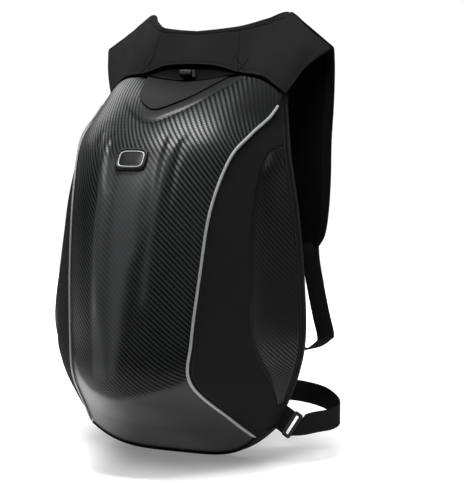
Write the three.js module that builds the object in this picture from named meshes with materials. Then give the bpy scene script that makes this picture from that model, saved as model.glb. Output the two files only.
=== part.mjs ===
// Hard shell backpack, worn on the back. Millimetres, +Z up.
// +X is to the right when the shell is seen from its front, -Y is the shell's front and
// +Y the side that lies on the wearer. The origin is where the wearer's shoulders carry it,
// and the tables below are measured from the middle of the shell's foot.
import * as THREE from 'three';

// Driving dimensions
const SEAT = new THREE.Vector3(0, 110, 545);  // the shoulders, seen from the foot of the shell
const GAP = 0.3;            // clearance between pieces that are sewn or clipped together
const SEWN_OVER = 0.3;      // extra lift of a piece that lies on a curved wall
const SHELL_WALL = 2.6;     // moulded shell
const PANEL_WALL = 2.4;     // cloth side panels, stiffened
const PANEL_POINT = 0.3;    // share of that wall left at the side panel's upper point
const BAND = { depth: 9.6, flare: 4.3 };  // cloth band with the zip, round the back edge
const LEAF = { depth: 13, foot: 75, top: 409, footFade: 60, topFade: 40, skew: 0.75 };
const PIPING = { radius: 1.9, start: 0.04, end: 8.45, points: 22, steps: 36 };
const YOKE_WALL = 5;        // padded shoulder yoke
const WEBBING = { width: 25, thickness: 1.8 };
const BELT_WIDTH = 28;

// The body from the foot up. centre: the shell's middle line; seam: the piped edge of the
// shell; back: the back edge, where the band meets the back panel. arch is the power of the
// curve from the middle to the seam, lift raises the shell's shoulders above that curve,
// leaf is the share of the side, from the seam to the band, in front of the gusset, and bow
// is how far the side stands out from a flat one.
const LEVELS = table('centreY centreZ arch lift seamX seamY seamZ backX backY backZ leaf bow', [
  [2, 0, 4.2, 0, 121, -11, 31, 136, 9, 41, 0.9, 0],
  [-72, 46, 2.8, 0, 104, -60, 66, 153.5, 9, 68, 0.92, 4],
  [-147, 100, 2.3, 0, 82, -128, 120, 174, 6, 117, 0.72, 7],
  [-162, 168, 2.2, 0, 84, -130, 172, 184.5, 1, 170, 0.52, 7],
  [-160, 250, 2.2, 0, 90, -119, 250, 178.5, 8, 250, 0.5, 6],
  [-147, 330, 2.2, 0, 96, -101, 330, 168, 14, 330, 0.5, 5],
  [-122, 393, 2.3, 1, 107, -68, 392, 154, 25, 390, 0.6, 3],
  [-84, 434, 2.5, 3, 119, -32, 421, 146, 38, 418, 0.92, 1],
  [-36, 466, 3, 6, 127, 17, 445, 135, 60, 450, 0.9, 0],
  [36, 489, 5, 11, 129, 57, 471, 128, 75, 477, 0.9, 0],
]);
const TOP = LEVELS.length - 1;

// The foot of the back panel hangs below the lowest level, and a strip of band closes it.
// square is the power of its outline, seamAt and leafStep say where the strip's points lie.
const FOOT = { drop: 43, square: 4.2, bow: 5.2, edge: 0.2, seamAt: 0.92, leafStep: 0.035, lean: 0.12 };

// The back panel: its pad, and its neck, which rises to the yoke's neckline
const PANEL = { pad: 11, rim: 4, turn: 1.1, turnTop: 1.6 };
const NECK = { from: 7, rise: 79, square: 2.4, bulge: 26, dip: 3.5 };

// The two raised ribs down the shell
const RIB = { x: 34, width: 9, height: 4.5, foot: 175, top: 432, fade: 45 };

// The smooth cover panel at the top of the shell, from its lower point up to the slit
const COVER_WALL = 1.2;
const COVER = table('level halfWidth', [
  [7.58, 5], [7.78, 21], [8.05, 36], [8.4, 48], [8.75, 56], [8.97, 60],
]);
const BADGE = { width: 43, height: 31, corner: 9, rim: 4, wall: 3, plate: 1.2, level: 6 };

// The yoke from its middle to the armhole: its lower edge on the shell and its upper edge,
// which is the neckline up to the peak and then the shoulder
const YOKE = table('lowX lowY lowZ topX topY topZ', [
  [0, 34.6, 513.8, 0, 67, 560],
  [36, 42.6, 511.8, 31, 71, 562.5],
  [69, 50.6, 502.8, 60, 84, 567],
  [92, 49.6, 499.3, 84, 114, 577.5],
  [108, 51.6, 493.3, 105, 142, 587],
  [120, 55.6, 484.8, 138, 138, 562],
  [130, 62.6, 475.3, 171, 131, 538],
]);
const PEAK = 4;             // row of the yoke's peak, where the strap's inner edge starts
const YOKE_CROWN = 4;       // how far the yoke's shoulders bulge to the front

// The right shoulder strap from the yoke's shoulder down: its inner and outer edge on the
// outside of the cloth, and the pad's thickness
const STRAP = table('innerX innerY innerZ outerX outerY outerZ pad', [
  [105.4, 142.6, 587.5, 171.4, 131.6, 538.5, 5],
  [105, 154, 583, 170, 143.5, 533.5, 7],
  [101, 164, 554, 167.5, 154, 506, 11],
  [95, 158, 490, 165, 150, 460, 14],
  [93, 147, 430, 164.5, 141, 412, 14],
  [97, 136, 370, 167, 132, 362, 14],
  [107, 126, 320, 169.5, 123, 318, 12],
  [124, 118, 285, 166, 116, 286, 8],
  [136, 112, 268, 161, 110, 270, 4],
]);
const STRAP_CROWN = 3;      // how far the strap's middle stands out
const STRAP_EDGE = 0.45;    // share of the pad's thickness at its edges

// The slit under the yoke, with the cloth flap behind it, its pull tab and the steel clip
const SLIT = { behind: 4, ends: 8, drop: 4, columns: 8, wall: 1.4, clear: 0.8 };
const TAB = { width: 18, wall: 1.5, reach: 9, height: 9, forward: 1.2, clip: 1.6 };

// Lower webbing of the right strap: down from the pad, folded back to the back panel's foot
const WEBBING_PATH = table('x y z', [
  [148.5, 109, 268.2], [151, 107.5, 250], [159, 104, 215], [169, 100, 177], [176, 96, 154],
  [177, 87, 144], [172, 62, 139], [166, 38, 142], [162, 12.8, 149],
]);

// Waist belt: a tab sewn to the back edge, a ring, and the belt looping back to the panel.
// The right one hangs out to the side, the left one is folded in behind the pack.
const ANCHOR = { fromLevel: 0, toLevel: 1.1, reach: 10, bulge: 3, back: 2.5, wall: 2.2 };
const RING = { length: 38, width: 12, bar: 4.1, wall: 2.6, corner: 2.5 };
const BELTS = {
  right: {
    out: v(0.83, 0.05, -0.55),
    path: table('x y z', [
      [188, 24, 49.5], [204, 45, 51], [208, 63, 54], [199, 83, 59],
      [175, 94, 69], [146, 76, 79], [122, 46, 84], [107, 21.8, 86],
    ]),
  },
  left: {
    out: v(-0.12, 0.98, -0.08),
    path: table('x y z', [
      [-140, 44, 50], [-142, 64, 54], [-133, 82, 62],
      [-114, 76, 74], [-103, 48, 82], [-99, 23.1, 86],
    ]),
  },
};
const BELT_LEAD = 6;        // straight stretch of the belt out of its ring

const FINISH = {
  carbon: { color: 0x2a2b2d, roughness: 0.38, metalness: 0 },
  satin: { color: 0x3a3b3d, roughness: 0.45, metalness: 0 },
  cloth: { color: 0x19191b, roughness: 0.85, metalness: 0 },
  yoke: { color: 0x2b2b2d, roughness: 0.9, metalness: 0 },
  piping: { color: 0xa9acae, roughness: 0.4, metalness: 0 },
  webbing: { color: 0x151517, roughness: 0.8, metalness: 0 },
  plastic: { color: 0x101012, roughness: 0.5, metalness: 0 },
  steel: { color: 0xb9bcc0, roughness: 0.25, metalness: 1 },
};

const SIDES = [['left', -1], ['right', 1]];

function v(x, y, z) {
  return new THREE.Vector3(x, y, z);
}

// Rows of numbers as objects with the named columns
function table(names, rows) {
  return rows.map((row) => Object.fromEntries(names.split(' ').map((name, k) => [name, row[k]])));
}

const { lerp, clamp, smoothstep } = THREE.MathUtils;
const mirrored = (vector) => v(-vector.x, vector.y, vector.z);

// Smooth value of one column of a table at a fractional row
function column(rows, name, at) {
  const i = clamp(Math.floor(at), 0, rows.length - 2);
  const f = at - i;
  const before = rows[Math.max(i - 1, 0)][name];
  const after = rows[Math.min(i + 2, rows.length - 1)][name];
  const [a, b] = [rows[i][name], rows[i + 1][name]];
  const [slopeA, slopeB] = [(b - before) / 2, (after - a) / 2];
  const [f2, f3] = [f * f, f * f * f];
  return (2 * f3 - 3 * f2 + 1) * a + (f3 - 2 * f2 + f) * slopeA
    + (3 * f2 - 2 * f3) * b + (f3 - f2) * slopeB;
}

function rowAt(rows, at) {
  return Object.fromEntries(Object.keys(rows[0]).map((name) => [name, column(rows, name, at)]));
}

// How far the back panel's outline drops below a level's back edge, at the middle
const footDrop = (level) => FOOT.drop * (1 - smoothstep(level, 0, 2));

// Point of the body's outer skin. across is 0 on the middle line, 1 on the seam, 2 on the
// gusset's front edge, 3 on the band's front edge and 4 on the back edge; minus is the left.
function skin(level, across) {
  const row = rowAt(LEVELS, Math.max(level, 0));
  const side = Math.sign(across) || 1;
  const c = Math.abs(across);
  if (level < 0) {
    const share = FOOT.seamAt * Math.min(c, 1) + FOOT.leafStep * clamp(c - 1, 0, 2);
    const middle = 1 - share ** FOOT.square;
    const y = row.backY + FOOT.bow * middle - FOOT.edge;
    return v(row.backX * share * side, y, row.backZ - FOOT.drop * middle);
  }
  const seam = v(row.seamX, row.seamY, row.seamZ);
  const back = v(row.backX, row.backY, row.backZ);
  const band = back.clone().add(v(-BAND.flare, -BAND.depth, 0));
  const point = new THREE.Vector3();
  if (c <= 1) {
    const share = c ** row.arch;
    const lift = row.lift * 4 * c * c * (1 - c * c);
    const y = lerp(row.centreY, row.seamY, share) + lift / 2;
    point.set(row.seamX * c, y, lerp(row.centreZ, row.seamZ, share) + lift);
    point.y -= ribAt(point.x, point.z);
  } else if (c <= 3) {
    const share = c <= 2 ? row.leaf * (c - 1) : row.leaf + (1 - row.leaf) * (c - 2);
    point.lerpVectors(seam, band, share);
    const outward = v(band.y - seam.y, seam.x - band.x, 0).normalize();
    point.addScaledVector(outward, row.bow * 4 * share * (1 - share));
    if (c > 2) point.addScaledVector(outward, -scoopAt(c - 2, point.z));
  } else {
    point.lerpVectors(band, back, c - 3);
  }
  point.x *= side;
  return point;
}

// Height of the shell's ribs
function ribAt(x, z) {
  const foot = smoothstep(z, RIB.foot, RIB.foot + RIB.fade);
  const top = smoothstep(z, RIB.top - RIB.fade, RIB.top);
  return RIB.height * Math.exp(-(((x - RIB.x) / RIB.width) ** 2)) * foot * (1 - top);
}

// Depth of the gusset's scoop, across it from its front edge to the band
function scoopAt(share, z) {
  const foot = smoothstep(z, LEAF.foot, LEAF.foot + LEAF.footFade);
  const top = smoothstep(z, LEAF.top - LEAF.topFade, LEAF.top);
  return LEAF.depth * foot * (1 - top) * Math.sin(Math.PI * share ** LEAF.skew);
}

// Outward direction of the skin, taken a little to each side so that it also holds on a fold
function outwardAt(level, across) {
  const step = 0.02;
  const along = skin(Math.min(level + step, TOP), across).sub(skin(Math.max(level - step, 0), across));
  return skin(level, across + step).sub(skin(level, across - step)).cross(along).normalize();
}

// A grid of points with the surface's outward direction at each, from the points next to it
function gridOf(rows, columns, place) {
  const points = rows.map((r) => columns.map((c) => place(r, c)));
  return points.map((line, r) => line.map((point, c) => {
    const left = line[Math.max(c - 1, 0)];
    const right = line[Math.min(c + 1, line.length - 1)];
    const below = points[Math.max(r - 1, 0)][c];
    const above = points[Math.min(r + 1, points.length - 1)][c];
    const normal = right.clone().sub(left).cross(above.clone().sub(below)).normalize();
    return { point, normal };
  }));
}

// A wall with the grid on its outer side, of the cells that keep(row, column) chooses.
// wall is its thickness, or a function of row and column. Its rim is drawn in by the gap.
function wallOf(grid, wall, keep = () => true) {
  const [rows, columns] = [grid.length - 1, grid[0].length - 1];
  const kept = (r, c) => r >= 0 && c >= 0 && r < rows && c < columns && keep(r, c);
  const thickness = typeof wall === 'function' ? wall : () => wall;
  const vertices = [];
  const index = [];
  const ids = new Map();
  const centreOf = (r, c) => grid[r][c].point.clone().add(grid[r + 1][c + 1].point)
    .add(grid[r][c + 1].point).add(grid[r + 1][c].point).divideScalar(4);
  const idOf = (r, c, inner) => {
    const key = `${r} ${c} ${inner}`;
    if (!ids.has(key)) {
      const around = [[r, c], [r - 1, c], [r, c - 1], [r - 1, c - 1]].filter(([a, b]) => kept(a, b));
      const { point, normal } = grid[r][c];
      const place = point.clone();
      if (around.length < 4) {
        const centre = v(0, 0, 0);
        around.forEach(([a, b]) => centre.add(centreOf(a, b)));
        centre.divideScalar(around.length);
        place.addScaledVector(centre.sub(point).normalize(), GAP);
      }
      if (inner) place.addScaledVector(normal, -thickness(r, c));
      ids.set(key, vertices.length / 3);
      vertices.push(place.x, place.y, place.z);
    }
    return ids.get(key);
  };
  const quad = (a, b, c, d) => index.push(a, b, c, a, c, d);
  for (let r = 0; r < rows; r += 1) {
    for (let c = 0; c < columns; c += 1) {
      if (!kept(r, c)) continue;
      const corners = [[r, c], [r, c + 1], [r + 1, c + 1], [r + 1, c]];
      const outer = corners.map(([a, b]) => idOf(a, b, false));
      const inner = corners.map(([a, b]) => idOf(a, b, true));
      quad(...outer);
      quad(...[...inner].reverse());
      [[r - 1, c], [r, c + 1], [r + 1, c], [r, c - 1]].forEach(([a, b], k) => {
        const next = (k + 1) % 4;
        if (!kept(a, b)) quad(outer[next], outer[k], inner[k], inner[next]);
      });
    }
  }
  return geometryOf(vertices, index);
}

function geometryOf(vertices, index) {
  const geometry = new THREE.BufferGeometry();
  geometry.setAttribute('position', new THREE.Float32BufferAttribute(vertices, 3));
  geometry.setIndex(index);
  geometry.computeVertexNormals();
  return geometry;
}

// A closed solid through rings of points with equal counts, its ends closed flat
function loftOf(rings) {
  const count = rings[0].length;
  const vertices = rings.flat().flatMap((p) => [p.x, p.y, p.z]);
  const index = [];
  for (let r = 0; r + 1 < rings.length; r += 1) {
    for (let k = 0; k < count; k += 1) {
      const [a, b] = [r * count + k, r * count + ((k + 1) % count)];
      index.push(a, b, b + count, a, b + count, a + count);
    }
  }
  const last = (rings.length - 1) * count;
  for (let k = 1; k + 1 < count; k += 1) {
    index.push(0, k + 1, k, last, last + k, last + k + 1);
  }
  return geometryOf(vertices, index);
}

// A flat strap through stations that give its middle and the direction of its width, with
// a number of steps from each station to the next
function strapOf(stations, width, thickness, steps) {
  const curve = new THREE.CatmullRomCurve3(stations.map((s) => s.at), false, 'centripetal');
  const count = (stations.length - 1) * steps;
  const rings = [];
  for (let i = 0; i <= count; i += 1) {
    const k = Math.min(Math.floor(i / steps), stations.length - 2);
    const middle = curve.getPoint(i / count);
    const along = curve.getTangent(i / count);
    const across = stations[k].across.clone().lerp(stations[k + 1].across, i / steps - k);
    across.addScaledVector(along, -across.dot(along)).normalize();
    const out = along.clone().cross(across).normalize();
    const corners = [[-1, -1], [1, -1], [1, 1], [-1, 1]];
    rings.push(corners.map(([w, t]) => middle.clone()
      .addScaledVector(across, (w * width) / 2).addScaledVector(out, (t * thickness) / 2)));
  }
  return loftOf(rings);
}

// A round cord along a list of points
function cordOf(points, radius, steps, sides = 6) {
  const corners = [];
  for (let k = 0; k < sides; k += 1) {
    const angle = (k / sides) * Math.PI * 2;
    corners.push(new THREE.Vector2(radius * Math.cos(angle), radius * Math.sin(angle)));
  }
  const extrudePath = new THREE.CatmullRomCurve3(points, false, 'centripetal');
  return new THREE.ExtrudeGeometry(new THREE.Shape(corners), { steps, bevelEnabled: false, extrudePath });
}

// Draws a rectangle with round corners, about its middle, into a shape or a hole
function roundedRectangle(width, height, corner, path) {
  const [x, y] = [width / 2 - corner, height / 2 - corner];
  path.moveTo(-x, -height / 2);
  path.absarc(x, -y, corner, -Math.PI / 2, 0);
  path.absarc(x, y, corner, 0, Math.PI / 2);
  path.absarc(-x, y, corner, Math.PI / 2, Math.PI);
  path.absarc(-x, -y, corner, Math.PI, Math.PI * 1.5);
  return path;
}

// A plate of a rounded rectangle, with a bar's width left round its opening where one is given
function plateOf(width, height, corner, depth, bar = 0) {
  const shape = roundedRectangle(width, height, corner, new THREE.Shape());
  if (bar) {
    const inner = Math.max(corner - bar, 1);
    shape.holes.push(roundedRectangle(width - 2 * bar, height - 2 * bar, inner, new THREE.Path()));
  }
  return new THREE.ExtrudeGeometry(shape, { depth, bevelEnabled: false, curveSegments: 3 });
}

const pack = new THREE.Group();
pack.position.copy(SEAT).negate();

// Adds a piece to the pack, turned to three axes at a place where they are given
function add(name, geometry, finish, axes, place) {
  const mesh = new THREE.Mesh(geometry, new THREE.MeshStandardMaterial(finish));
  mesh.name = name;
  if (axes) {
    mesh.setRotationFromMatrix(new THREE.Matrix4().makeBasis(...axes));
    mesh.position.copy(place);
  }
  pack.add(mesh);
}

// Rows and columns of the body's grid, and where each piece lies in it. Row -1 is the foot
// of the back panel, so the first cells are the band under the shell.
const ROWS = [-1];
for (let third = 0; third <= TOP * 3; third += 1) ROWS.push(third / 3);
const HALF_COLUMNS = [];
for (const [from, count] of [[0, 10], [1, 3], [2, 4], [3, 1]]) {
  for (let k = 1; k <= count; k += 1) HALF_COLUMNS.push(from + k / count);
}
const COLUMNS = [...HALF_COLUMNS.map((c) => -c).reverse(), 0, ...HALF_COLUMNS];
const body = gridOf(ROWS, COLUMNS, skin);
const middleOf = (c) => (COLUMNS[c] + COLUMNS[c + 1]) / 2;
const seamRunsOut = PIPING.end - 0.2;

// Above the piping's upper end the shell reaches across to the band.
const isShell = (r, c) => r > 0 && Math.abs(middleOf(c)) < (ROWS[r] > seamRunsOut ? 3 : 1);
const isSide = (r, c) => r > 0 && !isShell(r, c) && Math.abs(middleOf(c)) < 3;
const isLeaf = (r, c) => {
  const { z } = skin((ROWS[r] + ROWS[r + 1]) / 2, 2.5);
  return isSide(r, c) && Math.abs(middleOf(c)) > 2 && z > LEAF.foot && z < LEAF.top;
};
const sideWall = (r) => PANEL_WALL * lerp(1, PANEL_POINT, smoothstep(ROWS[r], PIPING.end - 1, seamRunsOut));

add('front_shell', wallOf(body, SHELL_WALL, isShell), FINISH.carbon);
add('bottom_band', wallOf(body, PANEL_WALL, (r, c) => r === 0 && Math.abs(middleOf(c)) < 3), FINISH.cloth);
for (const [name, side] of SIDES) {
  const here = (c) => middleOf(c) * side > 0;
  const plain = (r, c) => here(c) && isSide(r, c) && !isLeaf(r, c);
  add(`side_panel_${name}`, wallOf(body, sideWall, plain), FINISH.cloth);
  add(`side_gusset_${name}`, wallOf(body, PANEL_WALL, (r, c) => here(c) && isLeaf(r, c)), FINISH.carbon);
  add(`edge_band_${name}`, wallOf(body, PANEL_WALL, (r, c) => r > 0 && middleOf(c) * side > 3), FINISH.cloth);
}

// Piping, sewn over the seam between shell and side panel
for (const [name, side] of SIDES) {
  const points = [];
  for (let k = 0; k <= PIPING.points; k += 1) {
    const level = lerp(PIPING.start, PIPING.end, k / PIPING.points);
    points.push(skin(level, side).addScaledVector(outwardAt(level, side), PIPING.radius + GAP + SEWN_OVER));
  }
  add(`piping_${name}`, cordOf(points, PIPING.radius, PIPING.steps), FINISH.piping);
}

// Cover panel, welded on the shell
const coverAt = (at, share) => {
  const level = column(COVER, 'level', at);
  const across = (column(COVER, 'halfWidth', at) * share) / column(LEVELS, 'seamX', level);
  return skin(level, across).addScaledVector(outwardAt(level, across), GAP + COVER_WALL + SEWN_OVER / 2);
};
const coverRows = [0, 0.5, 1, 1.5, 2, 2.5, 3, 3.5, 4, 5];
const coverColumns = [-1, -0.75, -0.5, -0.25, 0, 0.25, 0.5, 0.75, 1];
add('cover_panel', wallOf(gridOf(coverRows, coverColumns, coverAt), COVER_WALL), FINISH.satin);

// Badge, blank: a rim and a plate inside it, flat against the shell's middle line
const badgeOut = outwardAt(BADGE.level, 0);
const badgeAxes = [v(1, 0, 0), badgeOut.clone().cross(v(1, 0, 0)), badgeOut];
const badgePlace = skin(BADGE.level, 0).addScaledVector(badgeOut, GAP + SEWN_OVER / 3);
const badgeRim = plateOf(BADGE.width, BADGE.height, BADGE.corner, BADGE.wall, BADGE.rim);
const inset = 2 * (GAP + BADGE.rim);
const badgePlate = plateOf(BADGE.width - inset, BADGE.height - inset, BADGE.corner - inset / 2, BADGE.plate);
add('badge_rim', badgeRim, FINISH.plastic, badgeAxes, badgePlace);
add('badge_plate', badgePlate, FINISH.satin, badgeAxes, badgePlace);

// Back panel: its front lies on the back edge and it is padded towards the wearer. Its neck
// rises in the middle to the yoke, and its foot drops to the band under the shell.
const backPoint = (level, share) => {
  const row = rowAt(LEVELS, level);
  const s = Math.abs(share);
  const foot = footDrop(level) * (1 - s ** FOOT.square);
  const neck = smoothstep(level, NECK.from, TOP);
  const turn = PANEL.turn + PANEL.turnTop * smoothstep(level, 5, TOP);
  const bulge = neck * (NECK.bulge * s * s * (1 - s * s) - NECK.dip * (1 - s) ** 2);
  const rise = neck * NECK.rise * (1 - s ** NECK.square);
  return v(row.backX * share, row.backY + GAP + turn + foot * FOOT.lean + bulge, row.backZ - foot + rise);
};
const backRows = ROWS.filter((level) => level >= 0);
const backColumns = [-1, -0.84, -0.6, -0.3, 0, 0.3, 0.6, 0.84, 1];
const padding = (r, c) => {
  const edge = Math.max(Math.abs(backColumns[c]), Math.abs((2 * backRows[r]) / TOP - 1));
  return lerp(PANEL.rim, PANEL.pad, 1 - edge ** 5);
};
add('back_panel', wallOf(gridOf(backRows, backColumns, backPoint), padding), FINISH.cloth);

// Yoke: over the shell's top edge, up to the neckline and the shoulders
const yokeAt = (height, share) => {
  const row = rowAt(YOKE, Math.abs(share));
  const point = v(row.lowX, row.lowY, row.lowZ).lerp(v(row.topX, row.topY, row.topZ), height);
  point.y -= YOKE_CROWN * Math.sin(Math.PI * height) * smoothstep(Math.abs(share), 2, 5);
  point.x *= Math.sign(share) || 1;
  return point;
};
const yokeColumns = [];
for (let half = -12; half <= 12; half += 1) yokeColumns.push(half / 2);
const yokeGrid = gridOf([0, 0.2, 0.45, 0.72, 1], yokeColumns, yokeAt);
add('yoke', wallOf(yokeGrid, YOKE_WALL), FINISH.yoke);

// Shoulder straps, from the yoke's shoulders down. The first ring lies against the end of
// the yoke's wall, so it takes its direction from there.
const strapAt = (at, share) => {
  const row = rowAt(STRAP, at);
  const point = v(row.innerX, row.innerY, row.innerZ).lerp(v(row.outerX, row.outerY, row.outerZ), share);
  point.y += STRAP_CROWN * Math.sin(Math.PI * share) * smoothstep(at, 0, 1.5);
  return point;
};
const strapRows = [];
for (let half = 0; half <= 2 * (STRAP.length - 1); half += 1) strapRows.push(half / 2);
const strapColumns = [0, 0.14, 0.5, 0.86, 1];
for (const [name, side] of SIDES) {
  const columns = side > 0 ? strapColumns : [...strapColumns].reverse();
  const place = (at, share) => (side > 0 ? strapAt(at, share) : mirrored(strapAt(at, share)));
  const grid = gridOf(strapRows, columns, place);
  columns.forEach((share, c) => {
    const across = side * lerp(PEAK, YOKE.length - 1, share);
    const { point, normal } = gridOf([0.9, 1], [across - 0.3, across, across + 0.3], yokeAt)[1][1];
    const along = point.clone().sub(yokeAt(0.9, across)).normalize();
    grid[0][c] = { point: point.clone().addScaledVector(along, GAP * 1.5), normal };
  });
  const onEdge = (c) => c === 0 || c === columns.length - 1;
  const pad = (r, c) => column(STRAP, 'pad', strapRows[r]) * (r > 0 && onEdge(c) ? STRAP_EDGE : 1);
  add(`strap_${name}`, wallOf(grid, pad), FINISH.cloth);
}

// Flap behind the slit, from below the shell's lip up behind the yoke's lower edge
const middleIndex = (yokeColumns.length - 1) / 2;
const flapAt = (height, index) => {
  const { point, normal } = yokeGrid[1][index];
  const high = point.clone().addScaledVector(normal, -(YOKE_WALL + GAP + SLIT.clear));
  const lip = skin(TOP, point.x / LEVELS[TOP].seamX);
  const toEnd = Math.abs(index - middleIndex) / (SLIT.columns / 2);
  const low = v(point.x, lip.y + lerp(SLIT.behind, SLIT.ends, toEnd ** 2), lip.z - SLIT.drop);
  return low.lerp(high, height);
};
const flapColumns = [];
for (let k = -SLIT.columns / 2; k <= SLIT.columns / 2; k += 1) flapColumns.push(middleIndex + k);
add('slit_flap', wallOf(gridOf([0, 0.5, 1], flapColumns, flapAt), SLIT.wall), FINISH.yoke);

// Pull tab, a folded strip that stands out of the slit, with the clip at its right end
const tabRoot = flapAt(0.5, middleIndex).add(v(0, -TAB.forward, 0));
const tabCorners = [[0, 1 / 2], [-TAB.reach, 1 / 3], [-TAB.reach, -1 / 3], [0, -1 / 2]];
const tabStations = tabCorners.map(([y, share]) => (
  { at: tabRoot.clone().add(v(0, y, share * TAB.height)), across: v(1, 0, 0) }));
add('pull_tab', strapOf(tabStations, TAB.width, TAB.wall, 3), FINISH.webbing);
const clip = new THREE.BoxGeometry(TAB.clip, TAB.reach - 2, TAB.height);
const clipPlace = tabRoot.clone().add(v(TAB.width / 2 + GAP + TAB.clip / 2, -TAB.reach / 2, 0));
add('tab_clip', clip, FINISH.steel, [v(1, 0, 0), v(0, 1, 0), v(0, 0, 1)], clipPlace);

for (const [name, side] of SIDES) {
  const webbing = WEBBING_PATH.map(({ x, y, z }) => ({ at: v(x * side, y, z), across: v(side, 0, 0) }));
  add(`strap_webbing_${name}`, strapOf(webbing, WEBBING.width, WEBBING.thickness, 2), FINISH.webbing);

  // The belt's tab and ring lie along the back edge, and reach out of it.
  const foot = skin(ANCHOR.fromLevel, side * 4);
  const head = skin(ANCHOR.toLevel, side * 4);
  const along = head.clone().sub(foot).normalize();
  const out = BELTS[name].out.clone();
  out.addScaledVector(along, -out.dot(along)).normalize();
  const face = along.clone().cross(out);
  const axes = [along, out, face];
  const tabAt = foot.clone().lerp(head, 0.5).add(v(0, ANCHOR.back, 0)).addScaledVector(out, ANCHOR.reach / 2);
  if (side > 0) tabAt.addScaledVector(out, ANCHOR.bulge);
  else tabAt.addScaledVector(face, ANCHOR.bulge + ANCHOR.wall / 2);
  const tab = new THREE.BoxGeometry(foot.distanceTo(head), ANCHOR.reach, ANCHOR.wall);
  add(`belt_tab_${name}`, tab, FINISH.webbing, axes, tabAt);
  const ringAt = tabAt.clone().addScaledVector(out, (ANCHOR.reach + RING.width) / 2 + GAP);
  const ring = plateOf(RING.length, RING.width, RING.corner, RING.wall, RING.bar);
  ring.translate(0, 0, -RING.wall / 2);
  add(`belt_ring_${name}`, ring, FINISH.plastic, axes, ringAt);

  const start = ringAt.clone().addScaledVector(out, RING.width / 2 + GAP);
  const belt = [
    { at: start, across: along },
    { at: start.clone().addScaledVector(out, BELT_LEAD), across: along },
    ...BELTS[name].path.map(({ x, y, z }) => ({ at: v(x, y, z), across: v(0, 0, 1) })),
  ];
  add(`waist_belt_${name}`, strapOf(belt, BELT_WIDTH, WEBBING.thickness, 2), FINISH.webbing);
}

export default pack;
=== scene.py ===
"""Hard shell backpack: the looks of a worn pack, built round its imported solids.

The object is put together section by section, from the moulded shell to the waist belt.
Lengths in the tables are millimetres from the middle of the shell's foot, as the pack is
measured on a bench; in_frame turns them into metres from the wearer's shoulders.
"""
import math

import bpy
import numpy as np
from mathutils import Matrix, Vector


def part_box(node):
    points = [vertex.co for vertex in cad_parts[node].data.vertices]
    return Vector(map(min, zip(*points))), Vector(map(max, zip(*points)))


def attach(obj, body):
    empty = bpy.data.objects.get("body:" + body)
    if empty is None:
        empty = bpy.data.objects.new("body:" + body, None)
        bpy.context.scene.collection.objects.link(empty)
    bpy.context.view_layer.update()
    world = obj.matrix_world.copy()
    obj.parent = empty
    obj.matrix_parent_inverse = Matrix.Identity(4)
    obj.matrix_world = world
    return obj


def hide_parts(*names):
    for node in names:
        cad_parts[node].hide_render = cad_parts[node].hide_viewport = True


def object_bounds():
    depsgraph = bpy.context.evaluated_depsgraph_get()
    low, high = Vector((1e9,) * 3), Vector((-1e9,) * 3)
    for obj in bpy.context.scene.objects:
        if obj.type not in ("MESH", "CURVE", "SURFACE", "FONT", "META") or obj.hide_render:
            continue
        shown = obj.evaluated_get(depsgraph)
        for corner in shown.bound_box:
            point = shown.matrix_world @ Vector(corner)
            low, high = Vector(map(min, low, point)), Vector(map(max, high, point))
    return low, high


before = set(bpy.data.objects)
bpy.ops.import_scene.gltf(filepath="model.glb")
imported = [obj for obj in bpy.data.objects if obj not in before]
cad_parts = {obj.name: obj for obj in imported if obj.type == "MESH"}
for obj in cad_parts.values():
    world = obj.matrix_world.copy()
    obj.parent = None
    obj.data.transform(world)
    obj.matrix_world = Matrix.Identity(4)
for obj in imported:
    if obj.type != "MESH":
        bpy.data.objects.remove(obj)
solid_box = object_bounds()
scene = bpy.context.scene

# The studio. The pack is photographed from its front right on a white sweep, between white
# walls. A long softbox hangs overhead with a card above its front, and a strip light stands
# behind its left shoulder.
CAMERA_PLACE = Vector((0.8714, -1.8835, -0.0777))
CAMERA_AIM = Vector((0.0818, -0.1100, -0.2612))
FRAME_HEIGHT = 483
FOCAL_PIXELS = 1500
SENSOR = 36

camera_data = bpy.data.cameras.new("studio_camera")
camera_data.sensor_width = SENSOR
camera_data.lens = FOCAL_PIXELS * SENSOR / FRAME_HEIGHT
camera = bpy.data.objects.new("studio_camera", camera_data)
camera.location = CAMERA_PLACE
camera.rotation_euler = (CAMERA_AIM - CAMERA_PLACE).to_track_quat("-Z", "Y").to_euler()
scene.collection.objects.link(camera)
scene.camera = camera
scene.view_settings.view_transform = "Standard"


def wire(tree, kind, settings=None, inputs=None, output=0):
    """Adds one node: its settings first, then the values or links of its sockets."""
    node = tree.nodes.new(kind)
    for key, value in (settings or {}).items():
        setattr(node, key, value)
    pairs = inputs.items() if isinstance(inputs, dict) else enumerate(inputs or [])
    for key, value in pairs:
        if isinstance(value, Signal):
            tree.links.new(value.socket, node.inputs[key])
        elif value is not None:
            node.inputs[key].default_value = value
    return Signal(tree, node.outputs[output])


def maths(operation, swapped=False):
    """A method that puts its object and its values through one Math node."""
    def method(self, *others):
        values = (*others, self) if swapped else (self, *others)
        return wire(self.tree, "ShaderNodeMath", {"operation": operation}, values)

    return method


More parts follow.
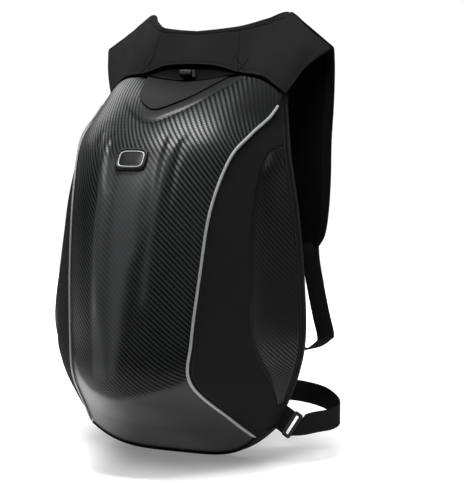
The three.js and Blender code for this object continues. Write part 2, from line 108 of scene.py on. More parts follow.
class Signal:
    """An output socket whose arithmetic adds Math nodes to its tree."""

    def __init__(self, tree, socket):
        self.tree = tree
        self.socket = socket

    __add__ = __radd__ = maths("ADD")
    __sub__, __rsub__ = maths("SUBTRACT"), maths("SUBTRACT", swapped=True)
    __mul__ = __rmul__ = maths("MULTIPLY")
    __truediv__, __rtruediv__ = maths("DIVIDE"), maths("DIVIDE", swapped=True)
    __mod__, __rmod__ = maths("FLOORED_MODULO"), maths("FLOORED_MODULO", swapped=True)
    __pow__, __rpow__ = maths("POWER"), maths("POWER", swapped=True)
    __lt__, __gt__ = maths("LESS_THAN"), maths("GREATER_THAN")
    floor, sine, magnitude = maths("FLOOR"), maths("SINE"), maths("ABSOLUTE")

    def ramp(self, low, high):
        """0 below low, 1 above high and smooth between them."""
        inputs = {"Value": self, "From Min": low, "From Max": high}
        return wire(self.tree, "ShaderNodeMapRange", {"interpolation_type": "SMOOTHSTEP"}, inputs)

    def parts(self):
        """The three numbers of a vector."""
        return [wire(self.tree, "ShaderNodeSeparateXYZ", None, [self], k) for k in range(3)]

    def blend(self, first, second):
        """The first colour where this is 0, and the second where it is 1."""
        first, second = (end if isinstance(end, Signal) else (*end, 1) for end in (first, second))
        return wire(self.tree, "ShaderNodeMix", {"data_type": "RGBA"}, {0: self, 6: first, 7: second}, 2)

    def into(self, shader, key):
        self.tree.links.new(self.socket, shader.inputs[key])


SHADED_WALL, LIT_WALL, SEEN_WALL = 0.03, 0.16, 1.05
world = bpy.data.worlds.new("studio_walls")
world.use_nodes = True
walls = world.node_tree
walls.nodes.clear()
to_wall = wire(walls, "ShaderNodeTexCoord")
to_right, towards_back, _ = to_wall.parts()
wall_light = wire(walls, "ShaderNodeMapRange", None,
                  [towards_back + 0.35 * to_right, -0.5, 1, SHADED_WALL, LIT_WALL])
seen = wire(walls, "ShaderNodeBackground", None, [(1, 1, 1, 1), SEEN_WALL])
lit = wire(walls, "ShaderNodeBackground", None, [(1, 1, 1, 1), wall_light])
direct = wire(walls, "ShaderNodeLightPath")
mixed = wire(walls, "ShaderNodeMixShader", None, [direct, lit, seen])
world_out = walls.nodes.new("ShaderNodeOutputWorld")
walls.links.new(mixed.socket, world_out.inputs["Surface"])
scene.world = world


def area_light(name, place, aim, size, watts):
    lamp = bpy.data.lights.new(name, "AREA")
    lamp.shape = "RECTANGLE"
    lamp.size, lamp.size_y = size
    lamp.energy = watts
    holder = bpy.data.objects.new(name, lamp)
    holder.location = place
    holder.rotation_euler = (Vector(aim) - Vector(place)).to_track_quat("-Z", "Y").to_euler()
    scene.collection.objects.link(holder)


area_light("overhead_softbox", (0.1, -0.38, 1.95), (0.1, -0.2, -0.1), (1.7, 0.42), 62)
area_light("front_card", (-0.1, -1.5, 1.5), (0, -0.2, -0.2), (1.3, 1.2), 24)
area_light("rear_left_strip", (-1.5, 1.2, 0.9), (-0.1, -0.1, -0.1), (1.2, 0.9), 9)


def painted(name, base, roughness, sockets=None):
    """A material whose constant values sit on its shader's own sockets."""
    material = bpy.data.materials.new(name)
    material.use_nodes = True
    shader = material.node_tree.nodes["Principled BSDF"]
    shader.inputs["Base Color"].default_value = (*base, 1)
    shader.inputs["Roughness"].default_value = roughness
    for key, value in (sockets or {}).items():
        shader.inputs[key].default_value = value
    return material, material.node_tree, shader


def place_in(tree):
    """The place on a piece, in its own metres."""
    return wire(tree, "ShaderNodeTexCoord", None, None, 3)


sweep = bpy.data.meshes.new("white_sweep")
floor_level = solid_box[0].z - 0.0015
corners = [(-1.6, -0.55), (1.6, -0.55), (1.6, 1.7), (-1.6, 1.7)]
sweep.from_pydata([(x, y, floor_level) for x, y in corners], [], [(0, 1, 2, 3)])
floor = bpy.data.objects.new("white_sweep", sweep)
scene.collection.objects.link(floor)
# The sweep also glows, and its glow is painted: dim under the pack as a painted shadow, brighter away from
# it, with a painted pool of light beside the left foot for the shell's lower edge to reflect.
paper, paper_tree, paper_shader = painted("white_paper", (0.86, 0.86, 0.86), 0.9, {"Emission Strength": 3.0})
floor_x, floor_y, _ = place_in(paper_tree).parts()
to_middle, to_left_foot, to_left_front = floor_y + 0.11, floor_x + 0.24, floor_y + 0.24
from_pack = (floor_x * floor_x * 0.7 + to_middle * to_middle) ** 0.5
from_left_foot = (to_left_foot * to_left_foot + to_left_front * to_left_front) ** 0.5
painted_shadow_glow, far_glow = from_pack.ramp(0.05, 0.3) * 0.1, from_pack.ramp(0.45, 1.2) * 0.3
painted_light_pool = (1 - from_left_foot.ramp(0.04, 0.22)) * 0.52
floor_glow = (painted_shadow_glow + far_glow + painted_light_pool).blend((0.07, 0.07, 0.07), (1, 1, 1))
floor_glow.into(paper_shader, "Emission Color")
sweep.materials.append(paper)

# The shell: one moulding of thin plastic with a printed carbon twill under a satin lacquer,
# vacuum formed over a domed buck with two raised ribs. Its open back takes the cloth body.
SEAT = np.array([0, 110, 545])      # the shoulders, from the middle of the shell's foot
MILLIMETRE = 0.001
SHELL_WALL = 2.6
LEVELS = np.array([
    # centreY centreZ arch lift  seamX seamY seamZ  backX backY backZ  leaf  bow
    [2, 0, 4.2, 0, 121, -11, 31, 136, 9, 41, 0.9, 0],
    [-72, 46, 2.8, 0, 104, -60, 66, 153.5, 9, 68, 0.92, 4],
    [-147, 100, 2.3, 0, 82, -128, 120, 174, 6, 117, 0.72, 7],
    [-162, 168, 2.2, 0, 84, -130, 172, 184.5, 1, 170, 0.52, 7],
    [-160, 250, 2.2, 0, 90, -119, 250, 178.5, 8, 250, 0.5, 6],
    [-147, 330, 2.2, 0, 96, -101, 330, 168, 14, 330, 0.5, 5],
    [-122, 393, 2.3, 1, 107, -68, 392, 154, 25, 390, 0.6, 3],
    [-84, 434, 2.5, 3, 119, -32, 421, 146, 38, 418, 0.92, 1],
    [-36, 466, 3, 6, 127, 17, 445, 135, 60, 450, 0.9, 0],
    [36, 489, 5, 11, 129, 57, 471, 128, 75, 477, 0.9, 0],
])
BAND_DEPTH, BAND_FLARE = 9.6, 4.3
SCOOP = {"depth": 13, "foot": 75, "top": 409, "foot_fade": 60, "top_fade": 40, "skew": 0.75}
SEAM_RUNS_OUT = 8.25                # level where the side panel ends in a point
ROWS_PER_LEVEL = 42


def in_frame(points):
    return (np.asarray(points, float) - SEAT) * MILLIMETRE


def smooth(value, low, high):
    """0 below low, 1 above high and smooth between them."""
    share = np.clip((np.asarray(value, float) - low) / (high - low), 0, 1)
    return share * share * (3 - 2 * share)


def fade(value, low, high):
    """1 below low, 0 above high and smooth between them."""
    return 1 - smooth(value, low, high)


def lerp(start, end, share):
    return start + (end - start) * share


def column(rows, at):
    """Rows of a table at fractional places, on a smooth curve through them."""
    at = np.asarray(at, float)
    i = np.clip(np.floor(at).astype(int), 0, len(rows) - 2)
    f = (at - i)[..., None]
    a, b = rows[i], rows[i + 1]
    before, after = rows[np.maximum(i - 1, 0)], rows[np.minimum(i + 2, len(rows) - 1)]
    start = (2 * f**3 - 3 * f**2 + 1) * a + (f**3 - 2 * f**2 + f) * (b - before) / 2
    return start + (3 * f**2 - 2 * f**3) * b + (f**3 - f**2) * (after - a) / 2


def unit(vectors):
    return vectors / np.maximum(np.linalg.norm(vectors, axis=-1, keepdims=True), 1e-9)


def skin(level, across):
    """The body's plain surface. across: 0 middle, 1 seam, 2 gusset, 3 band, 4 back edge."""
    level, across = np.broadcast_arrays(np.asarray(level, float), np.asarray(across, float))
    row = column(LEVELS, np.maximum(level, 0))
    (centre_y, centre_z, arch, lift, seam_x, seam_y, seam_z,
     back_x, back_y, back_z, leaf, bow) = np.moveaxis(row, -1, 0)
    c = np.abs(across)
    near = np.minimum(c, 1)
    raised = lift * 4 * near**2 * (1 - near**2)
    front = np.stack([seam_x * near, lerp(centre_y, seam_y, near**arch) + raised / 2,
                      lerp(centre_z, seam_z, near**arch) + raised], -1)
    s = np.where(c <= 2, leaf * (c - 1), leaf + (1 - leaf) * (c - 2))
    s = np.clip(s, 0, 1)
    seam = np.stack([seam_x, seam_y, seam_z], -1)
    back = np.stack([back_x, back_y, back_z], -1)
    band = back + np.array([-BAND_FLARE, -BAND_DEPTH, 0])
    out = unit(np.stack([band[..., 1] - seam[..., 1], seam[..., 0] - band[..., 0], 0 * c], -1))
    side = lerp(seam, band, s[..., None]) + out * (bow * 4 * s * (1 - s))[..., None]
    height = side[..., 2]
    scooped = smooth(height, SCOOP["foot"], SCOOP["foot"] + SCOOP["foot_fade"])
    scooped = scooped * fade(height, SCOOP["top"] - SCOOP["top_fade"], SCOOP["top"])
    hollow = np.sin(np.pi * np.clip(c - 2, 0, 1) ** SCOOP["skew"])
    side = side - out * (SCOOP["depth"] * scooped * hollow)[..., None]
    edge = lerp(band, back, np.clip(c - 3, 0, 1)[..., None])
    point = np.where((c <= 1)[..., None], front, np.where((c <= 3)[..., None], side, edge))
    return point * np.stack([np.where(across < 0, -1, 1), 0 * c + 1, 0 * c + 1], -1)


def ridge(value, middle, width):
    """1 at its middle, and less on both sides of it, as on a bell curve."""
    return np.exp(-(((value - middle) / width) ** 2))


def normals_of(points):
    """Outward directions of a grid whose columns run to the right and rows run up."""
    right = np.gradient(points, axis=1)
    up = np.gradient(points, axis=0)
    return unit(np.cross(right, up))


def outward_at(level, across):
    step = 0.02
    level, across = np.broadcast_arrays(np.asarray(level, float), np.asarray(across, float))
    up = skin(np.minimum(level + step, 9), across) - skin(np.maximum(level - step, 0), across)
    return unit(np.cross(skin(level, across + step) - skin(level, across - step), up))


def wall(points, normals, thickness, keep, gap=0.3, rounded=0.35):
    """A closed wall under the cells that keep marks, with a rounded rim.

    Gives its vertices, its faces and for each vertex the grid point that it comes from.
    """
    centres = (points[:-1, :-1] + points[1:, 1:] + points[:-1, 1:] + points[1:, :-1]) / 4
    padded = np.pad(keep, 1)
    middles = np.pad(centres, ((1, 1), (1, 1), (0, 0)))
    corners = [(slice(1, None), slice(1, None)), (slice(None, -1), slice(1, None)),
               (slice(1, None), slice(None, -1)), (slice(None, -1), slice(None, -1))]
    count = sum(padded[corner].astype(int) for corner in corners)
    total = sum(middles[corner] * padded[corner][..., None] for corner in corners)
    inward = unit(total / np.maximum(count, 1)[..., None] - points)
    used, edge = count > 0, (count > 0) & (count < 4)
    depth = np.broadcast_to(np.asarray(thickness, float), used.shape)[..., None]
    drawn = np.where(edge[..., None], inward * (gap + rounded * depth), 0)
    outer = points + drawn
    inner = outer - normals * depth
    rim = points + inward * gap - normals * depth / 2
    order = np.full(used.shape, -1)
    order[used] = np.arange(used.sum())
    below = order + used.sum()
    rim_order = np.full(used.shape, -1)
    rim_order[edge] = np.arange(edge.sum()) + 2 * used.sum()
    vertices = np.concatenate([outer[used], inner[used], rim[edge]])
    place = np.arange(used.size).reshape(used.shape)
    source = np.concatenate([place[used], place[used], place[edge]])
    r, c = np.nonzero(keep)
    ring = [(r, c), (r, c + 1), (r + 1, c + 1), (r + 1, c)]
    faces = [np.stack([order[p] for p in ring], -1), np.stack([below[p] for p in ring[::-1]], -1)]
    for k, (dr, dc) in enumerate([(-1, 0), (0, 1), (1, 0), (0, -1)]):
        open_side = ~padded[r + 1 + dr, c + 1 + dc]
        a = tuple(part[open_side] for part in ring[k])
        b = tuple(part[open_side] for part in ring[(k + 1) % 4])
        faces.append(np.stack([order[b], order[a], rim_order[a], rim_order[b]], -1))
        faces.append(np.stack([rim_order[b], rim_order[a], below[a], below[b]], -1))
    return vertices, np.concatenate(faces).tolist(), source


def mesh_piece(name, vertices, faces, material, uv=None, **shares):
    """A smooth piece in the frame, from points in millimetres, with UVs and point shares."""
    mesh = bpy.data.meshes.new(name)
    mesh.from_pydata(in_frame(vertices).tolist(), [], faces)
    mesh.polygons.foreach_set("use_smooth", [True] * len(mesh.polygons))
    loops = np.zeros(len(mesh.loops), int)
    mesh.loops.foreach_get("vertex_index", loops)
    if uv is not None:
        layer = mesh.uv_layers.new(name="weave")
        layer.data.foreach_set("uv", np.asarray(uv, float)[loops].ravel() * MILLIMETRE)
    for key, values in shares.items():
        attribute = mesh.attributes.new(key, "FLOAT", "POINT")
        attribute.data.foreach_set("value", np.asarray(values, float))
    mesh.update()
    piece = bpy.data.objects.new(name, mesh)
    scene.collection.objects.link(piece)
    mesh.materials.append(material)
    return piece


def fix(piece, slot, *nodes):
    """Puts a finished piece on the pack, in the place of the solids that it stands for."""
    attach(piece, "root")
    if nodes:
        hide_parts(*nodes)
    return piece


HALF = np.concatenate([np.linspace(0, 1, 61), np.linspace(1, 2, 17)[1:], np.linspace(2, 3, 21)[1:],
                       np.linspace(3, 4, 7)[1:]])
ACROSS = np.concatenate([-HALF[:0:-1], HALF])
LEVEL = np.linspace(0, 9, 9 * ROWS_PER_LEVEL + 1)
level_grid, across_grid = np.meshgrid(LEVEL, ACROSS, indexing="ij")
plain_body = skin(level_grid, across_grid)
body_out = normals_of(plain_body)

RIB_CREST = ([183, 221, 241, 300, 350, 385, 420], [28, 30, 31.5, 35, 37.5, 43, 49])
RIB_INNER = ([338, 366, 390, 405, 420], [31, 33.5, 35, 36.5, 37])
RIB_OUTER = ([300, 340, 382, 405, 420], [44.5, 49, 54, 58.5, 61])
RIB_HEIGHT, INNER_DEPTH, OUTER_DEPTH = 4.2, 1.3, 2.2
RIB_WIDTH, INNER_WIDTH, OUTER_WIDTH = 10, 3.6, 4.2
VALLEY_DEPTH, VALLEY_BRIM = 1.1, 0.6
LINE_SHIFT = ([183, 230, 300, 350, 385, 420], [1, 4, 5, 5, 0.7, -3.5])
CREASE = ([0, 11, 25, 40, 53, 66, 74, 80, 84],
          [7.14, 7.17, 7.36, 7.6, 7.9, 8.33, 8.55, 8.85, 9.1])
LEVEL_STEP = 57                     # millimetres of profile in a level, near the top


def rib_relief(x, z):
    """Two ribs down the shell; at the top each is a flat tongue between two grooves."""
    x = np.abs(x - np.interp(z, *LINE_SHIFT))
    crest = ridge(x, np.interp(z, *RIB_CREST), RIB_WIDTH)
    crest = crest * smooth(z, 165, 230) * fade(z, 385, 434)
    top = fade(z, 412, 431)
    inner = ridge(x, np.interp(z, *RIB_INNER), INNER_WIDTH) * smooth(z, 330, 385) * top
    outer = ridge(x, np.interp(z, *RIB_OUTER), OUTER_WIDTH) * smooth(z, 285, 375) * top
    return RIB_HEIGHT * crest - INNER_DEPTH * inner - OUTER_DEPTH * outer


def above_crease(x, level):
    """Millimetres of profile above the crease, and below it where they are negative."""
    return (level - np.interp(np.abs(x), *CREASE)) * LEVEL_STEP


def crease_relief(x, level):
    """The valley round the cover panel, with the shell a little higher between them."""
    above = above_crease(x, level)
    inside = fade(np.abs(x), 78, 98)
    valley = -VALLEY_DEPTH * ridge(above, 0, np.where(above > 0, 4.5, 7))
    return (valley + VALLEY_BRIM * smooth(above, -4, 16)) * inside * smooth(x, -70, -25)


body_x, body_z = plain_body[..., 0], plain_body[..., 2]
on_shell = np.abs(across_grid) <= 1
relief = rib_relief(body_x, body_z) + crease_relief(body_x, level_grid)
body = plain_body + body_out * np.where(on_shell, relief, 0)[..., None]
body_out = normals_of(body)

# Arc lengths lay the cloth and the twill on the body, measured from the middle line. Towards
# the top the twill is drawn out along the profile, as the film stretches over the dome.
TWILL_DRAW = ([0, 5, 7, 9], [1, 1, 0.62, 0.42])
TWILL_SPREAD = ([0, 5.3, 7, 9], [1, 1, 1.25, 1.5])
TWILL_SPREAD_RIGHT = ([0, 5.3, 7, 9], [1, 1, 1.05, 1.02])
along_row = np.linalg.norm(np.diff(plain_body, axis=1), axis=-1)
from_left = np.concatenate([np.zeros((len(LEVEL), 1)), np.cumsum(along_row, axis=1)], axis=1)
body_u = from_left - from_left[:, [len(HALF) - 1]]
spread_left = np.interp(LEVEL, *TWILL_SPREAD)[:, None]
spread_right = np.interp(LEVEL, *TWILL_SPREAD_RIGHT)[:, None]
body_u = body_u * np.where(body_u > 0, spread_right, spread_left)
middle = plain_body[:, len(HALF) - 1]
climb = np.linalg.norm(np.diff(middle, axis=0), axis=-1) * np.interp(LEVEL[1:], *TWILL_DRAW)
body_v = np.concatenate([[0], np.cumsum(climb)])[:, None] + 0 * body_u
body_uv = np.stack([body_u, body_v], -1)

cell_level = (LEVEL[:-1] + LEVEL[1:])[:, None] / 2
cell_across = (ACROSS[:-1] + ACROSS[1:])[None, :] / 2
cell_side = np.sign(cell_across)
cell_z = skin(cell_level, 2.5)[..., 2]
is_shell = np.abs(cell_across) < np.where(cell_level > SEAM_RUNS_OUT, 3, 1)
is_side = ~is_shell & (np.abs(cell_across) < 3)
is_leaf = is_side & (np.abs(cell_across) > 2) & (cell_z > SCOOP["foot"]) & (cell_z < SCOOP["top"])
is_band = np.broadcast_to(np.abs(cell_across) > 3, is_shell.shape)


def body_piece(name, material, thickness, keep, **shares):
    vertices, faces, source = wall(body, body_out, thickness, keep, gap=0.02)
    uv = body_uv.reshape(-1, 2)[source]
    shares = {key: np.broadcast_to(v, body_u.shape).ravel()[source] for key, v in shares.items()}
    return mesh_piece(name, vertices, faces, material, uv, **shares)


def noise(place, scale, detail):
    return wire(place.tree, "ShaderNodeTexNoise", None, {"Vector": place, "Scale": scale, "Detail": detail})


def point_share(tree, key):
    return wire(tree, "ShaderNodeAttribute", {"attribute_name": key}, None, 2)


def emboss(shader, height, strength, distance):
    inputs = {"Strength": strength, "Distance": distance, "Height": height}
    wire(height.tree, "ShaderNodeBump", None, inputs).into(shader, "Normal")


def tinted(colour, factor):
    return tuple(factor * part for part in colour)


def twill_finish(name, light, dark, satin, gloss, coat=0.5, tow_coat=0.85):
    """A 2/2 twill of flat carbon tows under lacquer, which gives way to satin where it isn't shown."""
    material, tree, shader = painted(name, satin, gloss, {"Coat Roughness": 0.32, "Specular IOR Level": 0.05})
    tow = 0.00173
    u, v, _ = wire(tree, "ShaderNodeUVMap", {"uv_map": "weave"}).parts()
    shown, pale, deep = (point_share(tree, key) for key in ("weave_shown", "pale_film", "deep_tone"))
    # Painted shade dims the tows and the lacquer.
    dimmed = 1 - 0.72 * deep
    u, v = u / tow, v / tow
    over = ((u.floor() + v.floor()) % 4) < 1.5
    in_u, in_v = u % 1 - 0.5, v % 1 - 0.5
    crown = over * (1 - 4 * in_v * in_v) + (1 - over) * (1 - 4 * in_u * in_u)
    grain, cloud = noise(place_in(tree), 700, 2), noise(place_in(tree), 9, 2)
    bright = (over * (0.45 + 0.55 * crown) + 0.06 * crown) * (0.45 + grain * 1.1) * (0.7 + cloud * 0.6)
    tows = (bright * dimmed).blend(dark, light)
    # Where the weave isn't shown the satin shows, lightened where a sheen is painted.
    film = pale.blend(grain.blend(tinted(satin, 0.9), tinted(satin, 1.15)), tinted(satin, 4.8))
    shown.blend(film, tows).into(shader, "Base Color")
    (gloss + 0.1 * (1 - over) * shown).into(shader, "Roughness")
    lacquer = (coat + (tow_coat * over * crown + 0.08 - coat) * shown) * dimmed
    lacquer.into(shader, "Coat Weight")
    emboss(shader, (crown * 0.6 + over * 0.4) * shown + grain * 0.06, 0.5, 0.0004)
    return material


carbon = twill_finish("carbon_twill", (0.043, 0.047, 0.045), (0.0016, 0.0018, 0.0019),
                      (0.0145, 0.0148, 0.0153), 0.4)
SOFT_EDGE = ([-130, -74.5, -67, -53, -38, -16, 8, 37, 60, 77, 81, 130],
             [3.2, 2.43, 2.1, 1.9, 1.87, 1.84, 1.94, 2.02, 2.03, 2.03, 2.08, 2.6])

# Shares over the shell: how much of the weave shows, where a sheen is painted pale, and where
# shade is painted dark. The painted sheen lies between the ribs and along the right rib's crest;
# the painted shade lies towards the foot, on the left face, under the crease round the cover and
# in the top right corner under the yoke. The weave shows less between the ribs, under the
# painted sheen and in that corner.
above_edge = level_grid - np.interp(body_x, *SOFT_EDGE)
weave_shown = smooth(above_edge, -0.02, 0.12)
past_crease = above_crease(body_x, level_grid)
off_middle = np.abs(body_x)
band_of_satin = smooth(past_crease, 1, 4) * fade(off_middle, 78, 92) * smooth(body_x, -30, -8)
weave_shown = weave_shown * (1 - band_of_satin)
between_ribs = fade(np.abs(body_x - 4), 14, 34) * smooth(body_z, 150, 220)
between_ribs = between_ribs * fade(body_z, 375, 410)
# The top right corner under the yoke, where shade is painted and the weave shows less.
yoke_corner_shade = smooth(body_x, 84, 106) * smooth(level_grid, 7.2, 8.1)
# The painted sheen: pale between the ribs, its right edge slanting outwards towards the top, and along the
# right rib's crest.
sheen_right = np.interp(body_z, [115, 173, 260, 330], [-8, 4, 14, 42])
crest_sheen = 0.8 * ridge(body_x - np.interp(body_z, *RIB_CREST), 3, 6) * smooth(body_z, 192, 235)
pale_film = smooth(body_x, -46, -36) * fade(body_x, sheen_right - 9, sheen_right + 9)
pale_film = pale_film * (1 - 0.42 * ridge(body_x, 26, 7) - 0.28 * ridge(body_x, -17, 6))
pale_film = np.maximum(pale_film, crest_sheen)
pale_film = pale_film * smooth(body_z, 105, 135) * fade(body_z, 385, 412)
weave_shown = weave_shown * (1 - 0.62 * pale_film) * (1 - 0.35 * between_ribs) * (1 - 0.7 * yoke_corner_shade)
# The painted shade: darker towards the foot, on the left face, under the crease round the cover and in the
# corner under the yoke.
left_face_shade = 0.6 * fade(body_x, -62, -42) * fade(body_z, 340, 400)
deep_tone = np.maximum(fade(body_z, 90, 320), left_face_shade)
crease_shade = ridge(past_crease, -0.5, 4) * fade(off_middle, 74, 90) * smooth(body_x, -70, -30)
deep_tone = np.maximum(deep_tone, np.maximum(0.95 * crease_shade, 0.8 * yoke_corner_shade))
deep_tone = deep_tone * smooth(above_edge, -0.06, 0.1)
shell = body_piece("moulded_shell", carbon, SHELL_WALL, is_shell, weave_shown=weave_shown,
                   pale_film=pale_film, deep_tone=deep_tone)
fix(shell, "carbon_shell", "front_shell")

# The side gussets: leaves of the same moulding, scooped into the back of each side so that
# the arm swings past. Each is welded to the side panel in front of it and to the zip band.
PANEL_WALL = 2.4
SIDES = (("left", -1), ("right", 1))
# The gussets' twill is a darker, duller copy of the shell's: painted shade on the scooped sides.
gusset_twill = twill_finish("gusset_twill", (0.021, 0.023, 0.022), (0.0018, 0.002, 0.0021),
                            (0.009, 0.0092, 0.0095), 0.5, 0.12, 0.6)
gusset_weave = 0.7 - 0.55 * smooth(body_z, 148, 170) + 0.3 * smooth(body_z, 230, 270)
gusset_weave = gusset_weave * smooth(np.abs(across_grid), 2.02, 2.2)
for side_name, side in SIDES:
    leaf = body_piece(f"gusset_{side_name}", gusset_twill, PANEL_WALL, is_leaf & (cell_side == side),
                      weave_shown=gusset_weave)
    fix(leaf, "carbon_shell", f"side_gusset_{side_name}")


# The side panels: stiffened woven nylon, cut to a point at the top and sewn into the piping
# in front. The cloth is bonded to a foam, so it lies smooth and rolls in at its seams.
def woven_finish(name, base, roughness, thread, strength, specular=0.12, shade=None):
    """A plain weave of round threads, with a slow unevenness of colour, dark seams and painted shade where
    its share says.
    """
    material, tree, shader = painted(name, base, roughness, {"Specular IOR Level": specular})
    u, v, _ = wire(tree, "ShaderNodeUVMap", {"uv_map": "weave"}).parts()
    turn = math.pi / thread
    wave = (u * turn).sine() * (v * turn).sine()
    cloud, fleck = noise(place_in(tree), 14, 3), noise(place_in(tree), 1400, 1)
    tone = 0.72 + wave.magnitude() * 0.25 + cloud * 0.35 + (fleck - 0.5) * 0.3
    if shade:
        tone = tone * (1 - point_share(tree, shade))
    (tone * 0.75).blend(tinted(base, 0.2), tinted(base, 1.25)).into(shader, "Base Color")
    emboss(shader, wave + fleck * 0.3, strength, thread * 0.3)
    return material


panel_cloth = woven_finish("panel_nylon", (0.0138, 0.0138, 0.0148), 0.8, 0.0006, 0.4, 0.02)
thin_out = lerp(1, 0.3, smooth(LEVEL, 7.45, SEAM_RUNS_OUT))[:, None]
for side_name, side in SIDES:
    cells = is_side & ~is_leaf & (cell_side == side)
    panel = body_piece(f"side_cloth_{side_name}", panel_cloth, PANEL_WALL * thin_out + 0 * body_u, cells)
    fix(panel, "panel_cloth", f"side_panel_{side_name}")

# The edge band: a cloth tape round the back edge that carries the main zip, sewn to the side
# panels and the gussets in front and to the back panel behind.
bead_tree = bpy.data.node_groups.new("bead_rows", "GeometryNodeTree")
bead_tree.interface.new_socket("Places", in_out="INPUT", socket_type="NodeSocketGeometry")
bead_size = bead_tree.interface.new_socket("Bead size", in_out="INPUT", socket_type="NodeSocketVector")
bead_finish = bead_tree.interface.new_socket("Finish", in_out="INPUT", socket_type="NodeSocketMaterial")
bead_tree.interface.new_socket("Beads", in_out="OUTPUT", socket_type="NodeSocketGeometry")
bead_in = wire(bead_tree, "NodeGroupInput")
named = {"data_type": "FLOAT_VECTOR"}
outward = wire(bead_tree, "GeometryNodeInputNamedAttribute", named, {"Name": "outward"})
forward = wire(bead_tree, "GeometryNodeInputNamedAttribute", named, {"Name": "forward"})
facing = wire(bead_tree, "FunctionNodeAlignRotationToVector", {"axis": "Z"}, {"Vector": outward})
turned = wire(bead_tree, "FunctionNodeAlignRotationToVector", {"axis": "X", "pivot_axis": "Z"},
              {"Rotation": facing, "Vector": forward})
ball = wire(bead_tree, "GeometryNodeMeshUVSphere", None, {"Segments": 8, "Rings": 5, "Radius": 0.5})
sized = wire(bead_tree, "GeometryNodeTransform", None,
             {"Geometry": ball, "Scale": Signal(bead_tree, bead_in.socket.node.outputs[1])})
smoothed = wire(bead_tree, "GeometryNodeSetShadeSmooth", None, [sized])
placed = wire(bead_tree, "GeometryNodeInstanceOnPoints", None,
              {"Points": bead_in, "Instance": smoothed, "Rotation": turned})
solid = wire(bead_tree, "GeometryNodeRealizeInstances", None, [placed])
coloured = wire(bead_tree, "GeometryNodeSetMaterial", None,
                {"Geometry": solid, "Material": Signal(bead_tree, bead_in.socket.node.outputs[2])})
bead_out = bead_tree.nodes.new("NodeGroupOutput")
bead_tree.links.new(coloured.socket, bead_out.inputs["Beads"])


def arc_lengths(line):
    """How far along the line each of its points lies."""
    return np.concatenate([[0], np.cumsum(np.linalg.norm(np.diff(line, axis=0), axis=-1))])


def beads(name, rows, spacing, size, material, slot):
    """Small rounded beads, such as stitches or zip teeth, evenly along rows of points.

    A row is its points and their outward directions. size is along, across and out, in mm.
    """
    places, outs, forwards = [], [], []
    for line, out in rows:
        travelled = arc_lengths(line)
        at = np.arange(spacing / 2, travelled[-1], spacing)
        for values, kept in ((line, places), (out, outs), (np.gradient(line, axis=0), forwards)):
            kept.append(np.stack([np.interp(at, travelled, values[:, k]) for k in range(3)], -1))
    mesh = bpy.data.meshes.new(name)
    mesh.from_pydata(in_frame(np.concatenate(places)).tolist(), [], [])
    for key, vectors in (("outward", outs), ("forward", forwards)):
        attribute = mesh.attributes.new(key, "FLOAT_VECTOR", "POINT")
        attribute.data.foreach_set("vector", unit(np.concatenate(vectors)).ravel())
    piece = bpy.data.objects.new(name, mesh)
    scene.collection.objects.link(piece)
    modifier = piece.modifiers.new("rows", "NODES")
    modifier.node_group = bead_tree
    modifier[bead_size.identifier] = [MILLIMETRE * part for part in size]
    modifier[bead_finish.identifier] = material
    seen_by = bpy.context.evaluated_depsgraph_get()
    made = bpy.data.meshes.new_from_object(piece.evaluated_get(seen_by))
    piece.modifiers.remove(modifier)
    piece.data = made
    return fix(piece, slot)


def thread_finish(name, base, roughness=0.6):
    """Twisted thread or drawn nylon, with small changes of tone along it."""
    material, tree, shader = painted(name, base, roughness, {"Specular IOR Level": 0.12})
    fleck = noise(place_in(tree), 1100, 2)
    fleck.blend(tinted(base, 0.5), tinted(base, 1.5)).into(shader, "Base Color")
    return material


dark_thread = thread_finish("dark_thread", (0.03, 0.03, 0.031))
zip_nylon = thread_finish("zip_nylon", (0.008, 0.008, 0.009), 0.65)
band_level = np.linspace(0.25, 8.7, 500)
STITCH, STITCH_PITCH = (2.5, 0.7, 0.5), 3.6
TOOTH, TOOTH_PITCH = (1.0, 3.6, 1.3), 1.5


def body_row(across, lift, level=band_level):
    return skin(level, across) + outward_at(level, across) * lift, outward_at(level, across)


for side_name, side in SIDES:
    band = body_piece(f"zip_band_{side_name}", panel_cloth, PANEL_WALL, is_band & (cell_side == side))
    fix(band, "panel_cloth", f"edge_band_{side_name}")
    teeth = [body_row(3.5 * side, 0.15)]
    beads(f"zip_teeth_{side_name}", teeth, TOOTH_PITCH, TOOTH, zip_nylon, "panel_cloth")
    stitch_rows = [body_row(3.13 * side, 0.1), body_row(3.87 * side, 0.1)]
    stitch_rows.append(body_row(1.07 * side, 0.15, np.linspace(0.15, 7.2, 500)))
    beads(f"band_stitches_{side_name}", stitch_rows, STITCH_PITCH, STITCH, dark_thread, "panel_cloth")

# The strip under the shell: the same band, turned across the foot, from the shell's lower
# edge to the foot of the back panel.
FOOT_DROP, FOOT_SQUARE, FOOT_BOW = 43, 4.2, 5.2


def foot_line(across):
    """The back panel's lower outline, which the strip is sewn to."""
    c = np.abs(across)
    share = 0.92 * np.minimum(c, 1) + 0.035 * np.clip(c - 1, 0, 2)
    middle_share = 1 - share**FOOT_SQUARE
    back_x, back_y, back_z = LEVELS[0, 7:10]
    return np.stack([back_x * share * np.sign(across), back_y + FOOT_BOW * middle_share - 0.2,
                     back_z - FOOT_DROP * middle_share], -1)


def sheet(name, points, normals, thickness, material, **shares):
    """A closed wall under a whole grid of points, with its weave laid on from the front."""
    cells = np.ones((points.shape[0] - 1, points.shape[1] - 1), bool)
    vertices, faces, source = wall(points, normals, thickness, cells)
    shares = {key: values.ravel()[source] for key, values in shares.items()}
    return mesh_piece(name, vertices, faces, material, vertices[:, [0, 2]], **shares)


